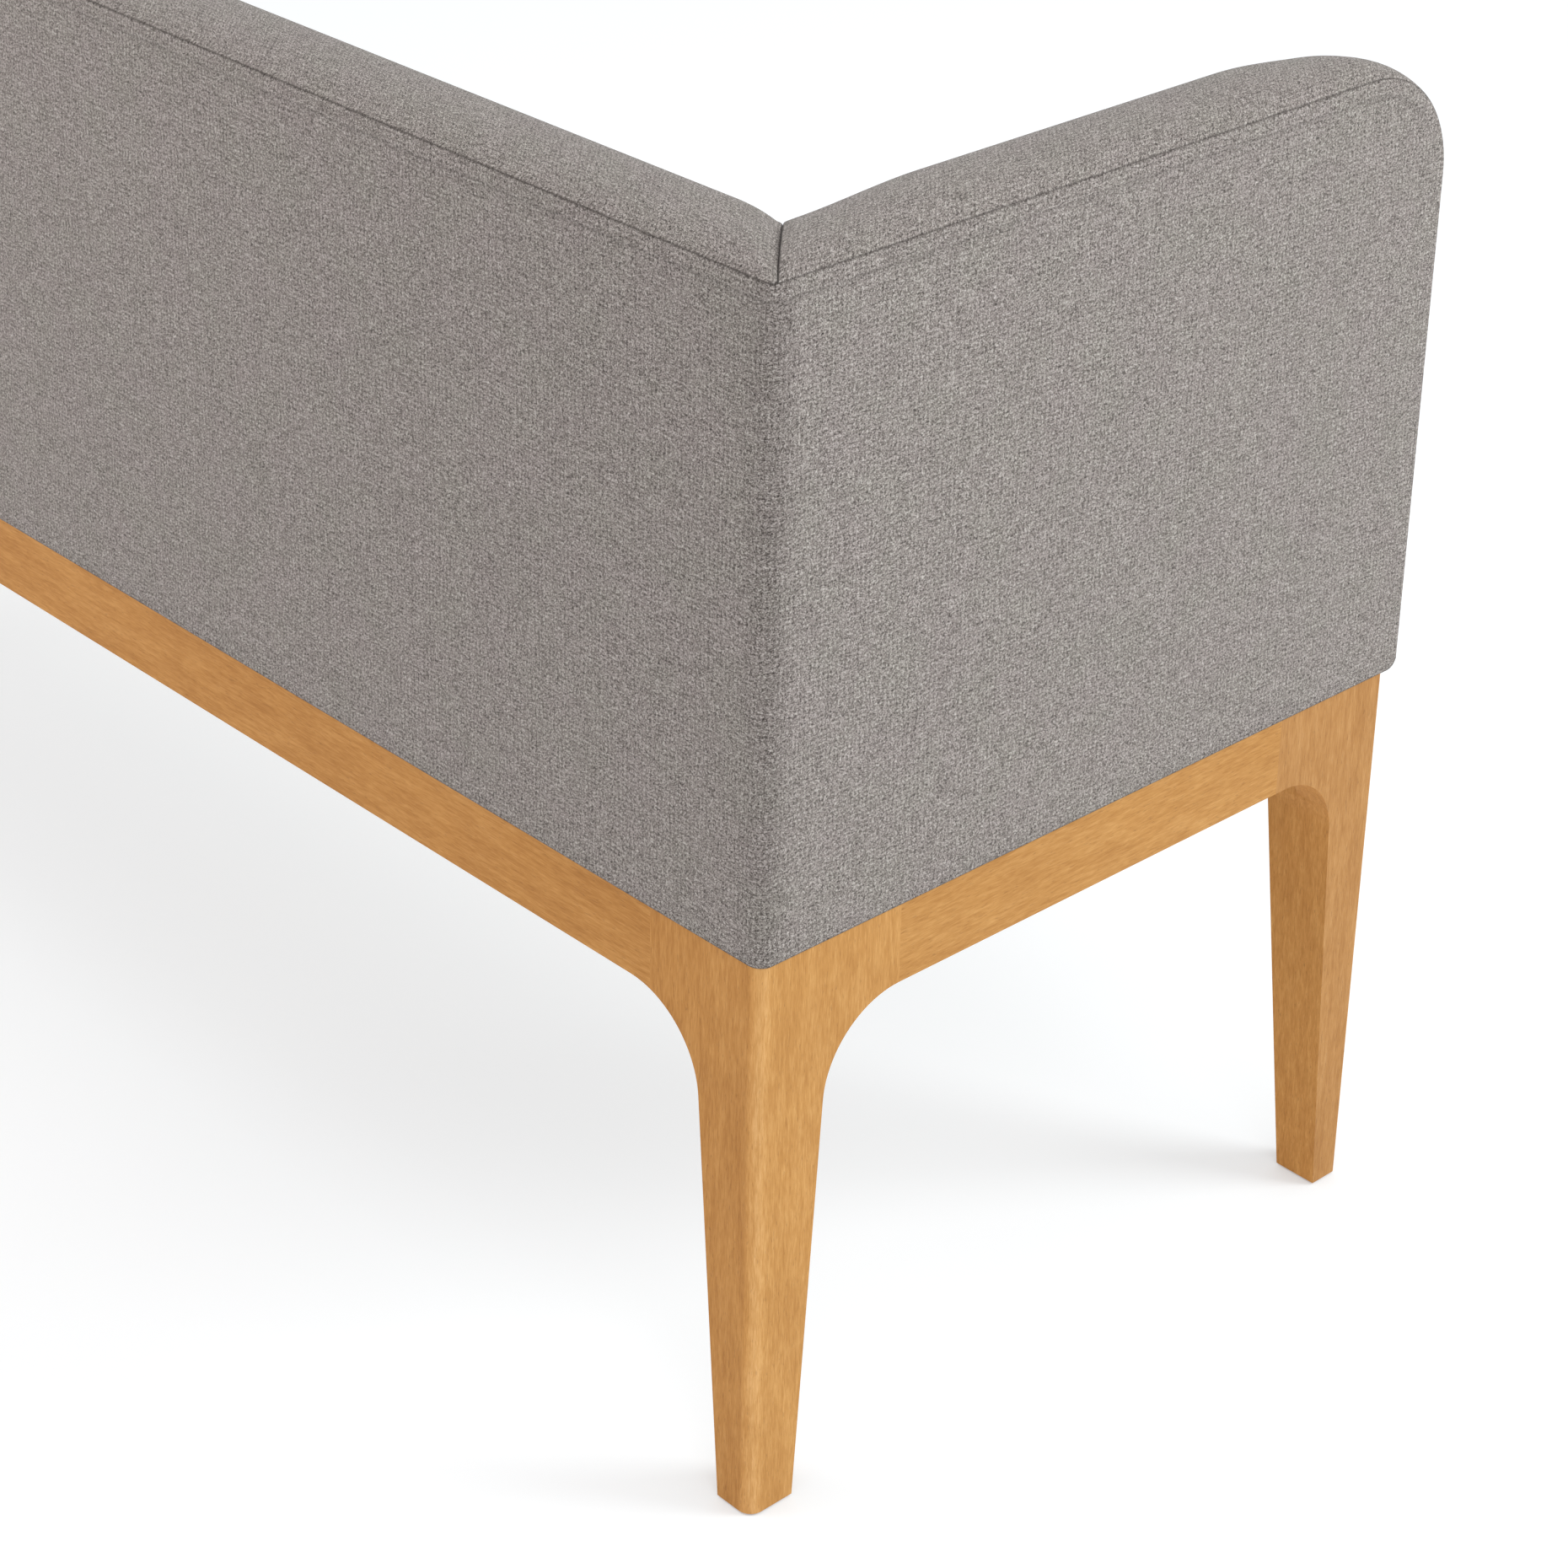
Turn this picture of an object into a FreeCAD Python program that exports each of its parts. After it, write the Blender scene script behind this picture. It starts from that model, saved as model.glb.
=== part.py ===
import FreeCAD, Part
import math
import os

# Upholstered banquette bench: a low back and two arms of one height round a fixed seat,
# on an open hardwood base with four tapered legs.
# Millimetres. X runs along the bench, the front faces -Y, and Z is up from the floor.
# Left is -X and right is +X, as seen from the front.

# Driving dimensions
bench_length = 1500.0
bench_depth = 590.0
wood_top = 402.0
wall_height = 430.0
wall_thickness = 75.0
seat_seam_rise = 68.0

# Covers
cover_thickness = 1.5
crown_rise = 9.0
crown_shoulder = 16.0
crown_shoulder_rise = 6.6
fabric_proud = 1.5
front_overhang = 13.0
rear_corner_radius = 10.0
arm_corner_radius = 80.0
lower_corner_radius = 9.0
border_pad_edge = 12.0
mitre_shoulder = 26.0
mitre_floor = 1.5
mitre_crest_clearance = 1.2
mitre_middle_share = 0.68
dust_cover_thickness = 0.5
dust_cover_margin = 14.0
tuck_depth = 22.0
back_crown = 6.0
arm_crown = 4.0
seat_crown = 14.0
seat_end_crown = 5.0
seat_recess = 7.0
seat_front_pad = 10.0
seat_front_crown = 3.0

# Wooden base
rail_height = 55.0
rail_thickness = 26.0
wood_corner_radius = 10.0
wood_front_corner_radius = 2.0
rear_leg_top_x = 56.0
rear_leg_top_y = 58.0
rear_leg_foot_x = 29.5
rear_leg_foot_y = 36.0
front_leg_top_x = 56.5
front_leg_top_y = 45.0
front_leg_foot_x = 32.8
front_leg_foot_y = 23.5
rear_shoulder_radius = 62.0
front_shoulder_radius = 51.0
joint_offset_x = 96.0
rear_joint_offset_y = 116.0
front_joint_offset_y = 102.0
stretcher_width = 44.0
stretcher_height = 38.0
dowel_diameter = 10.0
dowel_length = 50.0
dowel_end_clearance = 1.0
dowel_spacing = 28.0
stretcher_dowel_bite = 16.0
stretcher_dowel_spacing = 22.0
wood_fit = 0.05

# Corner blocks, their screws and the bolts that hold the body down
block_height = 38.0
block_leg_gap = 6.0
block_width = 50.0
block_screw_offset = 120.0
block_screw_seat = 14.0
block_screw_bite = 14.0
screw_diameter = 4.0
screw_head_diameter = 8.0
screw_head_height = 2.5
counterbore_clearance = 1.0
bolt_offset_y = 55.0
bolt_diameter = 8.0
bolt_hole_clearance = 0.5
bolt_head_diameter = 13.0
bolt_head_height = 5.0
bolt_bite = 22.0
washer_diameter = 20.0
washer_thickness = 1.6
insert_diameter = 12.0
insert_length = 20.0

# Foot glides
glide_thickness = 1.5
glide_diameter = 18.0
glide_nail_diameter = 3.0
glide_nail_length = 14.0

# Frame of the back and arms
panel_thickness = 9.0
frame_thickness = 30.0
inner_panel_thickness = 6.0
webbing_thickness = 1.5
webbing_width = 50.0
webbing_count = 11
webbing_end_margin = 10.0
frame_member = 45.0
back_bottom_rail_height = 90.0
back_post_width = 40.0
back_post_count = 6
arm_bottom_rail_height = 50.0

# Seat frame, springs and foam
seat_rail_height = 30.0
seat_rail_width = 60.0
seat_end_rail_width = 40.0
spring_count = 10
spring_bar_count = 13
spring_wire = 3.6
spring_width = 52.0
spring_overlap = 16.0
clip_thickness = 1.2
clip_width = 22.0
clip_lip = 5.0
clip_foam_gap = 6.5
insulator_thickness = 3.0
frame_screw_length = 52.0
frame_screw_height = 15.0
frame_screw_bite = 18.0
arm_screw_shares = (0.2, 0.5, 0.8)
back_screw_shares = (0.1, 0.26, 0.42, 0.58, 0.74, 0.9)
seat_place_shares = (-1, -0.62, 0, 0.62, 1)
seat_crown_shares = (0, 0.75, 1, 0.75, 0)
overrun = 5.0
point_tolerance = 0.002
quarter_turn = 90

# Places worked out from the sizes above
half_length = bench_length / 2
half_depth = bench_depth / 2
body_base = wood_top + dust_cover_thickness
seam_height = wood_top + wall_height
frame_top = seam_height - border_pad_edge
front_seam = -half_depth + crown_rise
rail_bottom = wood_top - rail_height
shoulder_bottom = rail_bottom - rear_shoulder_radius - overrun
wood_end = half_length - fabric_proud
wood_rear = half_depth - fabric_proud
wood_front = front_seam + front_overhang
wood_middle = (wood_rear + wood_front) / 2
panel_inner = cover_thickness + panel_thickness
frame_inner = panel_inner + frame_thickness
arm_panel_inner = frame_inner + inner_panel_thickness
arm_outer_panel_rear = half_depth - max(panel_inner, rear_corner_radius)
webbing_inner = frame_inner + webbing_thickness
foam_inner = wall_thickness - cover_thickness
seat_rail_top = body_base + seat_rail_height
spring_centre = seat_rail_top + clip_thickness + spring_wire / 2
spring_top = spring_centre + spring_wire / 2
deck = spring_top + insulator_thickness
seat_seam = wood_top + seat_seam_rise
tuck_height = seat_seam - tuck_depth
seat_front = front_seam + seat_recess
seat_rail_front = seat_front + cover_thickness + seat_front_pad
seat_rear = half_depth - wall_thickness
seat_end = half_length - wall_thickness
clip_back = spring_wire / 2 + clip_thickness
rear_bar_y = seat_rear - clip_foam_gap - clip_back
rear_rail_front = rear_bar_y - spring_overlap
block_near = rear_leg_top_x + rear_leg_top_y + block_leg_gap
block_far = block_near + block_width
bolt_x = wood_end - ((block_near + block_far) / 2 - bolt_offset_y)
rear_bolt_y = wood_rear - bolt_offset_y
front_bolt_y = wood_front + bolt_offset_y
block_bottom = wood_top - block_height
stretcher_bottom = wood_top - stretcher_height
screw_level = rail_bottom + rail_height / 2


def vec(x, y, z):
    return FreeCAD.Vector(x, y, z)


def line(start, end):
    return Part.LineSegment(start, end).toShape()


def box(x0, x1, y0, y1, z0, z1):
    return Part.makeBox(x1 - x0, y1 - y0, z1 - z0, vec(x0, y0, z0))


def rod(radius, start, end):
    """A cylinder from one point to another."""
    axis = end - start
    return Part.makeCylinder(radius, axis.Length, start, axis)


def joined(shapes):
    """Touching or overlapping solids as one solid."""
    return shapes[0].fuse(shapes[1:]).removeSplitter()


def mirrored(shape):
    """The same shape at the other end of the bench."""
    return shape.mirror(vec(0, 0, 0), vec(1, 0, 0))


def both_ends(solids):
    return solids + [mirrored(s) for s in solids]


def save(name, solids):
    """Writes one solid, or a group of separate ones, as a node."""
    shape = solids[0] if len(solids) == 1 else Part.makeCompound(solids)
    shape.exportStep("parts/" + name + ".step")


def rounded_outline(corners):
    """A closed wire through corners, each a point and the radius that rounds it."""
    edges = []
    ends = []
    count = len(corners)
    for i in range(count):
        point, radius = corners[i]
        before = corners[i - 1][0] - point
        after = corners[(i + 1) % count][0] - point
        before.normalize()
        after.normalize()
        half = before.getAngle(after) / 2
        reach = radius / math.tan(half)
        start = point + before * reach
        end = point + after * reach
        ends.append((start, end))
        if radius > 0:
            inward = before + after
            inward.normalize()
            middle = point + inward * (radius / math.sin(half) - radius)
            edges.append(Part.Arc(start, middle, end).toShape())
    for i in range(count):
        start = ends[i][1]
        end = ends[(i + 1) % count][0]
        if not start.isEqual(end, point_tolerance):
            edges.append(line(start, end))
    return Part.Wire(Part.__sortEdges__(edges))


def prism(corners, along):
    return Part.Face(rounded_outline(corners)).extrude(along)


def plan_envelope(inset, radius, low, high):
    """Everything behind the front, inside the rounded rear corners seen from above."""
    end = half_length - inset
    rear = half_depth - inset
    front = -half_depth - overrun
    corners = [
        (vec(-end, front, low), 0),
        (vec(end, front, low), 0),
        (vec(end, rear, low), radius),
        (vec(-end, rear, low), radius),
    ]
    return prism(corners, vec(0, 0, high - low))


def side_corners(x, grow, rear):
    """The arm seen from its end, grown outward from its seam line at the top and front."""
    front = front_seam - grow
    top = seam_height + grow
    return [
        (vec(x, rear, body_base), 0),
        (vec(x, front, body_base), max(lower_corner_radius + grow, 0)),
        (vec(x, front, top), arm_corner_radius + grow),
        (vec(x, rear, top), 0),
    ]


def side_prism(x0, x1, grow, rear):
    return prism(side_corners(x0, grow, rear), vec(x1 - x0, 0, 0))


# The wooden base

def back_arch(top, foot, radius, y0, y1):
    """The open space between two legs seen from the back or front."""
    top_x = wood_end - top
    foot_x = wood_end - foot
    spread = (foot_x - top_x) / rail_bottom * overrun
    corners = [
        (vec(-foot_x - spread, y0, -overrun), 0),
        (vec(-top_x, y0, rail_bottom), radius),
        (vec(top_x, y0, rail_bottom), radius),
        (vec(foot_x + spread, y0, -overrun), 0),
    ]
    return prism(corners, vec(0, y1 - y0, 0))


def side_arch():
    """The open space between a front and a rear leg seen from the end."""
    rear_top = wood_rear - rear_leg_top_y
    rear_foot = wood_rear - rear_leg_foot_y
    front_top = wood_front + front_leg_top_y
    front_foot = wood_front + front_leg_foot_y
    rear_spread = (rear_foot - rear_top) / rail_bottom * overrun
    front_spread = (front_top - front_foot) / rail_bottom * overrun
    left = -half_length - overrun
    corners = [
        (vec(left, rear_foot + rear_spread, -overrun), 0),
        (vec(left, rear_top, rail_bottom), rear_shoulder_radius),
        (vec(left, front_top, rail_bottom), front_shoulder_radius),
        (vec(left, front_foot - front_spread, -overrun), 0),
    ]
    return prism(corners, vec(-left - left, 0, 0))


def arches():
    rear = back_arch(rear_leg_top_x, rear_leg_foot_x, rear_shoulder_radius,
                     wood_middle, half_depth + overrun)
    front = back_arch(front_leg_top_x, front_leg_foot_x, front_shoulder_radius,
                      -half_depth - overrun, wood_middle)
    return [rear, front, side_arch()]


def wood_envelope():
    """The outer faces of the base, rounded at the rear corners and eased at the front."""
    corners = [
        (vec(-wood_end, wood_front, 0), wood_front_corner_radius),
        (vec(wood_end, wood_front, 0), wood_front_corner_radius),
        (vec(wood_end, wood_rear, 0), wood_corner_radius),
        (vec(-wood_end, wood_rear, 0), wood_corner_radius),
    ]
    return prism(corners, vec(0, 0, wood_top))


def from_corner(rear, along_x, along_y, z):
    """A point at the left end, by its distances in from the base's outer faces."""
    y = wood_rear - along_y if rear else wood_front + along_y
    return vec(-wood_end + along_x, y, z)


def corner_box(rear, x1, y1, z0, z1):
    """A box that fills the base's left corner out to the two distances."""
    a = from_corner(rear, 0, 0, z0)
    b = from_corner(rear, x1, y1, z1)
    return box(a.x, b.x, min(a.y, b.y), max(a.y, b.y), z0, z1)


def joint_y(rear):
    return rear_joint_offset_y if rear else front_joint_offset_y


def foot_centre(rear):
    width = rear_leg_foot_x if rear else front_leg_foot_x
    depth = rear_leg_foot_y if rear else front_leg_foot_y
    return from_corner(rear, width / 2, depth / 2, 0)


def dowel_ends(rear):
    """The two dowels of each joint at this left leg, as start and end points."""
    found = []
    half = dowel_length / 2
    centre = rail_thickness / 2
    for side in (-1, 1):
        z = screw_level + side * dowel_spacing / 2
        found.append((from_corner(rear, joint_offset_x - half, centre, z),
                      from_corner(rear, joint_offset_x + half, centre, z)))
        found.append((from_corner(rear, centre, joint_y(rear) - half, z),
                      from_corner(rear, centre, joint_y(rear) + half, z)))
    return found


def stretcher_dowel_ends():
    """The dowels that join the centre stretcher to the front and back rails."""
    found = []
    z = wood_top - stretcher_height / 2
    for rear, sign in ((True, -1), (False, 1)):
        inner = wood_rear - rail_thickness if rear else wood_front + rail_thickness
        start = inner - sign * stretcher_dowel_bite
        for side in (-1, 1):
            x = side * stretcher_dowel_spacing / 2
            found.append((vec(x, start, z), vec(x, start + sign * dowel_length, z)))
    return found


def dowels(ends):
    return [rod(dowel_diameter / 2, a, b) for a, b in ends]


def dowel_bores(ends):
    bores = []
    for start, end in ends:
        spare = (end - start).normalize() * dowel_end_clearance
        bores.append(rod(dowel_diameter / 2 + wood_fit, start - spare, end + spare))
    return bores


def block_screws(rear):
    """Seat and tip of the screws that run square into the two rails at a left corner."""
    seat = rail_thickness + block_screw_seat
    tip = rail_thickness - block_screw_bite
    return [
        (from_corner(rear, block_screw_offset, seat, screw_level),
         from_corner(rear, block_screw_offset, tip, screw_level)),
        (from_corner(rear, seat, block_screw_offset, screw_level),
         from_corner(rear, tip, block_screw_offset, screw_level)),
    ]


def screw(seat, tip):
    """A pan head screw with its head standing on the seat."""
    back = (seat - tip).normalize()
    head = rod(screw_head_diameter / 2, seat, seat + back * screw_head_height)
    return joined([rod(screw_diameter / 2, tip, seat), head])


def screw_bore(seat, tip):
    return rod(screw_diameter / 2 + wood_fit, tip, seat)


def counterbore(seat, tip, reach):
    back = (seat - tip).normalize()
    radius = screw_head_diameter / 2 + counterbore_clearance
    return rod(radius, seat, seat + back * reach)


def leg(rear, openings):
    """A square post with two shoulders that run out to the rails, cut by the arches."""
    top_x = rear_leg_top_x if rear else front_leg_top_x
    top_y = rear_leg_top_y if rear else front_leg_top_y
    blank = joined([
        corner_box(rear, top_x, top_y, glide_thickness, wood_top),
        corner_box(rear, joint_offset_x, rail_thickness, shoulder_bottom, wood_top),
        corner_box(rear, rail_thickness, joint_y(rear), shoulder_bottom, wood_top),
    ])
    foot = foot_centre(rear)
    nail = rod(glide_nail_diameter / 2 + wood_fit, foot,
               foot + vec(0, 0, glide_thickness + glide_nail_length))
    bores = dowel_bores(dowel_ends(rear)) + [screw_bore(a, b) for a, b in block_screws(rear)]
    return blank.common(wood_envelope()).cut(openings + bores + [nail])


def end_bores():
    """Every dowel and screw bore of the left end."""
    bores = []
    for rear in (True, False):
        bores += dowel_bores(dowel_ends(rear))
        bores += [screw_bore(a, b) for a, b in block_screws(rear)]
    return bores


def long_rail(rear, openings):
    """The back or front rail between its two legs."""
    outer = wood_rear if rear else wood_front
    inner = wood_rear - rail_thickness if rear else wood_front + rail_thickness
    end = wood_end - joint_offset_x
    blank = box(-end, end, min(outer, inner), max(outer, inner), shoulder_bottom, wood_top)
    return blank.cut(openings + both_ends(end_bores()) + dowel_bores(stretcher_dowel_ends()))


def side_rail(openings):
    rear = wood_rear - rear_joint_offset_y
    front = wood_front + front_joint_offset_y
    blank = box(-wood_end, -wood_end + rail_thickness, front, rear, shoulder_bottom, wood_top)
    return blank.cut(openings + end_bores())


def bolt_places():
    """The bolts through the left corner blocks, and those through the stretcher."""
    left = [vec(-bolt_x, y, 0) for y in (front_bolt_y, rear_bolt_y)]
    middle = [vec(0, y, 0) for y in (front_bolt_y, rear_bolt_y)]
    return left + [vec(-p.x, p.y, 0) for p in left] + middle


def bolt_bores(radius, low, high):
    return [rod(radius, p + vec(0, 0, low), p + vec(0, 0, high)) for p in bolt_places()]


def stretcher():
    """The cross rail under the middle of the seat."""
    half = stretcher_width / 2
    blank = box(-half, half, wood_front + rail_thickness, wood_rear - rail_thickness,
                stretcher_bottom, wood_top)
    bores = bolt_bores(bolt_diameter / 2 + bolt_hole_clearance,
                       stretcher_bottom - overrun, wood_top + overrun)
    return blank.cut(bores + dowel_bores(stretcher_dowel_ends()))


def corner_block(rear):
    """A block across the inside of a left corner, screwed to both rails."""
    t = rail_thickness
    points = [(block_near - t, t), (block_far - t, t), (t, block_far - t), (t, block_near - t)]
    corners = [(from_corner(rear, x, y, block_bottom), 0) for x, y in points]
    blank = prism(corners, vec(0, 0, block_height))
    tools = bolt_bores(bolt_diameter / 2 + bolt_hole_clearance,
                       block_bottom - overrun, wood_top + overrun)
    for seat, tip in block_screws(rear):
        tools.append(screw_bore(seat, tip))
        tools.append(counterbore(seat, tip, block_far))
    return blank.cut(tools)


def bolt_seat(place):
    """The underside that a bolt's washer bears on: its block's, or the stretcher's."""
    return block_bottom if abs(place.x) > stretcher_width / 2 else stretcher_bottom


def bolt(place):
    """A bolt with its head under its washer."""
    under = bolt_seat(place) - washer_thickness
    head = rod(bolt_head_diameter / 2, place + vec(0, 0, under - bolt_head_height),
               place + vec(0, 0, under))
    shank = rod(bolt_diameter / 2, place + vec(0, 0, under),
                place + vec(0, 0, body_base + bolt_bite))
    return joined([head, shank])


def ring(outer, inner, low, high, place):
    """A round sleeve or washer."""
    solid = rod(outer, place + vec(0, 0, low), place + vec(0, 0, high))
    hole = rod(inner, place + vec(0, 0, low - overrun), place + vec(0, 0, high + overrun))
    return solid.cut(hole)


def glide(rear):
    """A nylon disc with a nail up into the foot."""
    foot = foot_centre(rear)
    top = foot + vec(0, 0, glide_thickness)
    return joined([
        rod(glide_diameter / 2, foot, top),
        rod(glide_nail_diameter / 2, top, top + vec(0, 0, glide_nail_length)),
    ])


def make_base():
    openings = arches()
    for rear, place in ((True, "rear"), (False, "front")):
        left = leg(rear, openings)
        save("leg_" + place + "_left", [left])
        save("leg_" + place + "_right", [mirrored(left)])
    save("back_rail", [long_rail(True, openings)])
    save("front_rail", [long_rail(False, openings)])
    side = side_rail(openings)
    save("side_rail_left", [side])
    save("side_rail_right", [mirrored(side)])
    save("centre_stretcher", [stretcher()])
    save("corner_blocks", both_ends([corner_block(True), corner_block(False)]))
    screws = [screw(a, b) for rear in (True, False) for a, b in block_screws(rear)]
    save("corner_block_screws", both_ends(screws))
    pins = both_ends(dowels(dowel_ends(True) + dowel_ends(False)))
    save("rail_dowels", pins + dowels(stretcher_dowel_ends()))
    save("foot_glides", both_ends([glide(True), glide(False)]))
    save("body_bolts", [bolt(p) for p in bolt_places()])
    washers = [ring(washer_diameter / 2, bolt_diameter / 2 + wood_fit,
                    bolt_seat(p) - washer_thickness, bolt_seat(p), p) for p in bolt_places()]
    save("bolt_washers", washers)
    inserts = [ring(insert_diameter / 2, bolt_diameter / 2 + wood_fit,
                    body_base, body_base + insert_length, p) for p in bolt_places()]
    save("threaded_inserts", inserts)


# The frame of the back and arms

def back_panel():
    """The plywood behind the back cover, rounded where the cover turns the corner."""
    slab = box(-half_length, half_length, half_depth - panel_inner, half_depth,
               body_base, frame_top)
    return slab.common(plan_envelope(cover_thickness, rear_corner_radius - cover_thickness,
                                     body_base, frame_top))


def back_frame_box(x0, x1, z0, z1):
    return box(x0, x1, half_depth - frame_inner, half_depth - panel_inner, z0, z1)


def back_posts():
    reach = half_length - panel_inner - back_post_width / 2
    posts = []
    for i in range(back_post_count):
        x = -reach + i * 2 * reach / (back_post_count - 1)
        posts.append(back_frame_box(x - back_post_width / 2, x + back_post_width / 2,
                                    body_base + back_bottom_rail_height,
                                    frame_top - frame_member))
    return posts


def webbing():
    """Elastic strips from the bottom rail to the top rail of the back."""
    reach = half_length - arm_panel_inner - webbing_width
    strips = []
    for i in range(webbing_count):
        x = -reach + i * 2 * reach / (webbing_count - 1)
        strips.append(box(x - webbing_width / 2, x + webbing_width / 2,
                          half_depth - webbing_inner, half_depth - frame_inner,
                          seat_rail_top + webbing_end_margin, frame_top - webbing_end_margin))
    return strips


def arm_panel(start, thickness, rear):
    """A shaped plywood cheek of the left arm, at this depth in from its cover."""
    x = -half_length + start
    return side_prism(x, x + thickness, -border_pad_edge, rear)


def arm_ring():
    """The members between the two cheeks of the left arm, as one ring."""
    rear = half_depth - frame_inner
    whole = side_prism(-half_length + panel_inner, -half_length + frame_inner,
                       -border_pad_edge, rear)
    hollow = box(-half_length, -half_length + wall_thickness,
                 front_seam + border_pad_edge + frame_member, rear - frame_member,
                 body_base + arm_bottom_rail_height, frame_top - frame_member)
    return whole.cut(hollow)


def arm_member(y0, y1, z0, z1):
    return arm_ring().common(box(-half_length, -half_length + wall_thickness, y0, y1, z0, z1))


def arm_screws():
    """The screws from the seat's end rail into the left arm's bottom rail."""
    found = []
    z = body_base + frame_screw_height
    tip = -half_length + frame_inner - frame_screw_bite
    low = seat_rail_front + seat_rail_width
    high = rear_rail_front
    for share in arm_screw_shares:
        y = low + (high - low) * share
        found.append((vec(tip + frame_screw_length, y, z), vec(tip, y, z)))
    return found


def back_screws():
    """The screws from the seat's rear rail into the back's bottom rail."""
    found = []
    z = body_base + frame_screw_height
    tip = half_depth - frame_inner + frame_screw_bite
    low = -half_length + arm_panel_inner
    for share in back_screw_shares:
        x = low - 2 * low * share
        found.append((vec(x, tip - frame_screw_length, z), vec(x, tip, z)))
    return found


def frame_screw_bores():
    bores = both_ends([screw_bore(a, b) for a, b in arm_screws()])
    return bores + [screw_bore(a, b) for a, b in back_screws()]


def make_wall_frames():
    bores = frame_screw_bores()
    panel_end = half_length - panel_inner
    save("back_outer_panel", [back_panel()])
    bottom = back_frame_box(-panel_end, panel_end, body_base,
                            body_base + back_bottom_rail_height)
    save("back_bottom_rail", [bottom.cut(bores)])
    save("back_top_rail", [back_frame_box(-panel_end, panel_end,
                                          frame_top - frame_member, frame_top)])
    save("back_posts", back_posts())
    save("back_webbing", webbing())
    rear = half_depth - frame_inner
    front = front_seam + border_pad_edge
    top = frame_top - frame_member
    bottom_top = body_base + arm_bottom_rail_height
    pieces = {
        "arm_outer_panel": arm_panel(cover_thickness, panel_thickness, arm_outer_panel_rear),
        "arm_inner_panel": arm_panel(frame_inner, inner_panel_thickness, rear).cut(bores),
        "arm_top_rail": arm_member(front, rear, top, frame_top),
        "arm_front_post": arm_member(front, front + frame_member, body_base, top),
        "arm_rear_post": arm_member(rear - frame_member, rear, bottom_top, top),
        "arm_bottom_rail": arm_member(front + frame_member, rear,
                                      body_base, bottom_top).cut(bores),
    }
    for name, shape in pieces.items():
        save(name + "_left", [shape])
        save(name + "_right", [mirrored(shape)])


# The seat frame and its springs

def insert_bores():
    return bolt_bores(insert_diameter / 2, body_base - overrun, body_base + insert_length)


def bolt_tips():
    return bolt_bores(bolt_diameter / 2 + bolt_hole_clearance,
                      body_base - overrun, body_base + bolt_bite + bolt_hole_clearance)


def seat_long_rail(y0, y1, tools):
    end = half_length - arm_panel_inner
    return box(-end, end, y0, y1, body_base, seat_rail_top).cut(tools)


def seat_end_rail(tools):
    start = -half_length + arm_panel_inner
    return box(start, start + seat_end_rail_width, seat_rail_front + seat_rail_width,
               rear_rail_front, body_base, seat_rail_top).cut(tools)


def spring_places():
    """Where each spring lies along the seat."""
    reach = seat_end - seat_end_rail_width / 2
    step = 2 * reach / spring_count
    return [-reach + step * (i + 1 / 2) for i in range(spring_count)]


def spring_span():
    """The front and rear end bars of a spring, which lie on the two long seat rails."""
    return seat_rail_front + seat_rail_width - spring_overlap, rear_bar_y


def spring(x):
    """A wire that runs to and fro across the spring's width, with a half turn between bars."""
    front, rear = spring_span()
    turn = (rear - front) / (spring_bar_count - 1) / 2
    half = spring_width / 2 - turn
    edges = []
    for i in range(spring_bar_count):
        y = front + i * 2 * turn
        side = 1 if i % 2 == 0 else -1
        start = vec(x - side * half, y, spring_centre)
        end = vec(x + side * half, y, spring_centre)
        edges.append(line(start, end))
        if i < spring_bar_count - 1:
            middle = vec(x + side * (half + turn), y + turn, spring_centre)
            after = vec(x + side * half, y + 2 * turn, spring_centre)
            edges.append(Part.Arc(end, middle, after).toShape())
    path = Part.Wire(edges)
    first = vec(x - half, front, spring_centre)
    section = Part.Wire([Part.Circle(first, vec(1, 0, 0), spring_wire / 2).toShape()])
    return path.makePipeShell([section], True, False)


def clip(x, y, side):
    """A folded steel clip round a spring's end bar, open towards the span."""
    low = seat_rail_top
    high = spring_top + clip_thickness
    back = y - side * clip_back
    mouth = y + side * clip_lip
    half = clip_width / 2
    outer = box(x - half, x + half, min(back, mouth), max(back, mouth), low, high)
    inner_back = y - side * spring_wire / 2
    beyond = mouth + side * overrun
    slot = box(x - half - overrun, x + half + overrun, min(inner_back, beyond),
               max(inner_back, beyond), low + clip_thickness, high - clip_thickness)
    return outer.cut(slot)


def clips():
    front, rear = spring_span()
    return [clip(x, y, side) for x in spring_places() for y, side in ((front, 1), (rear, -1))]


def insulator():
    """Felt over the springs, cut round the clips."""
    front, rear = spring_span()
    lip = clip_back + clip_lip
    reach = half_length - arm_panel_inner - seat_end_rail_width
    return box(-reach, reach, front + lip, rear - lip, spring_top, deck)


def make_seat_frame():
    tools = frame_screw_bores() + insert_bores() + bolt_tips()
    tools += both_ends([counterbore(a, b, seat_end_rail_width) for a, b in arm_screws()])
    rear = half_depth - frame_inner
    tools += [counterbore(a, b, rear - rear_rail_front) for a, b in back_screws()]
    front_rail_rear = seat_rail_front + seat_rail_width
    save("seat_front_rail", [seat_long_rail(seat_rail_front, front_rail_rear, tools)])
    save("seat_rear_rail", [seat_long_rail(rear_rail_front, rear, tools)])
    end = seat_end_rail(tools)
    save("seat_end_rail_left", [end])
    save("seat_end_rail_right", [mirrored(end)])
    screws = both_ends([screw(a, b) for a, b in arm_screws()])
    screws += [screw(a, b) for a, b in back_screws()]
    save("frame_screws", screws)
    save("seat_springs", [spring(x) for x in spring_places()])
    save("spring_clips", clips())
    save("spring_insulator", [insulator()])


# Foam and covers

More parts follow.
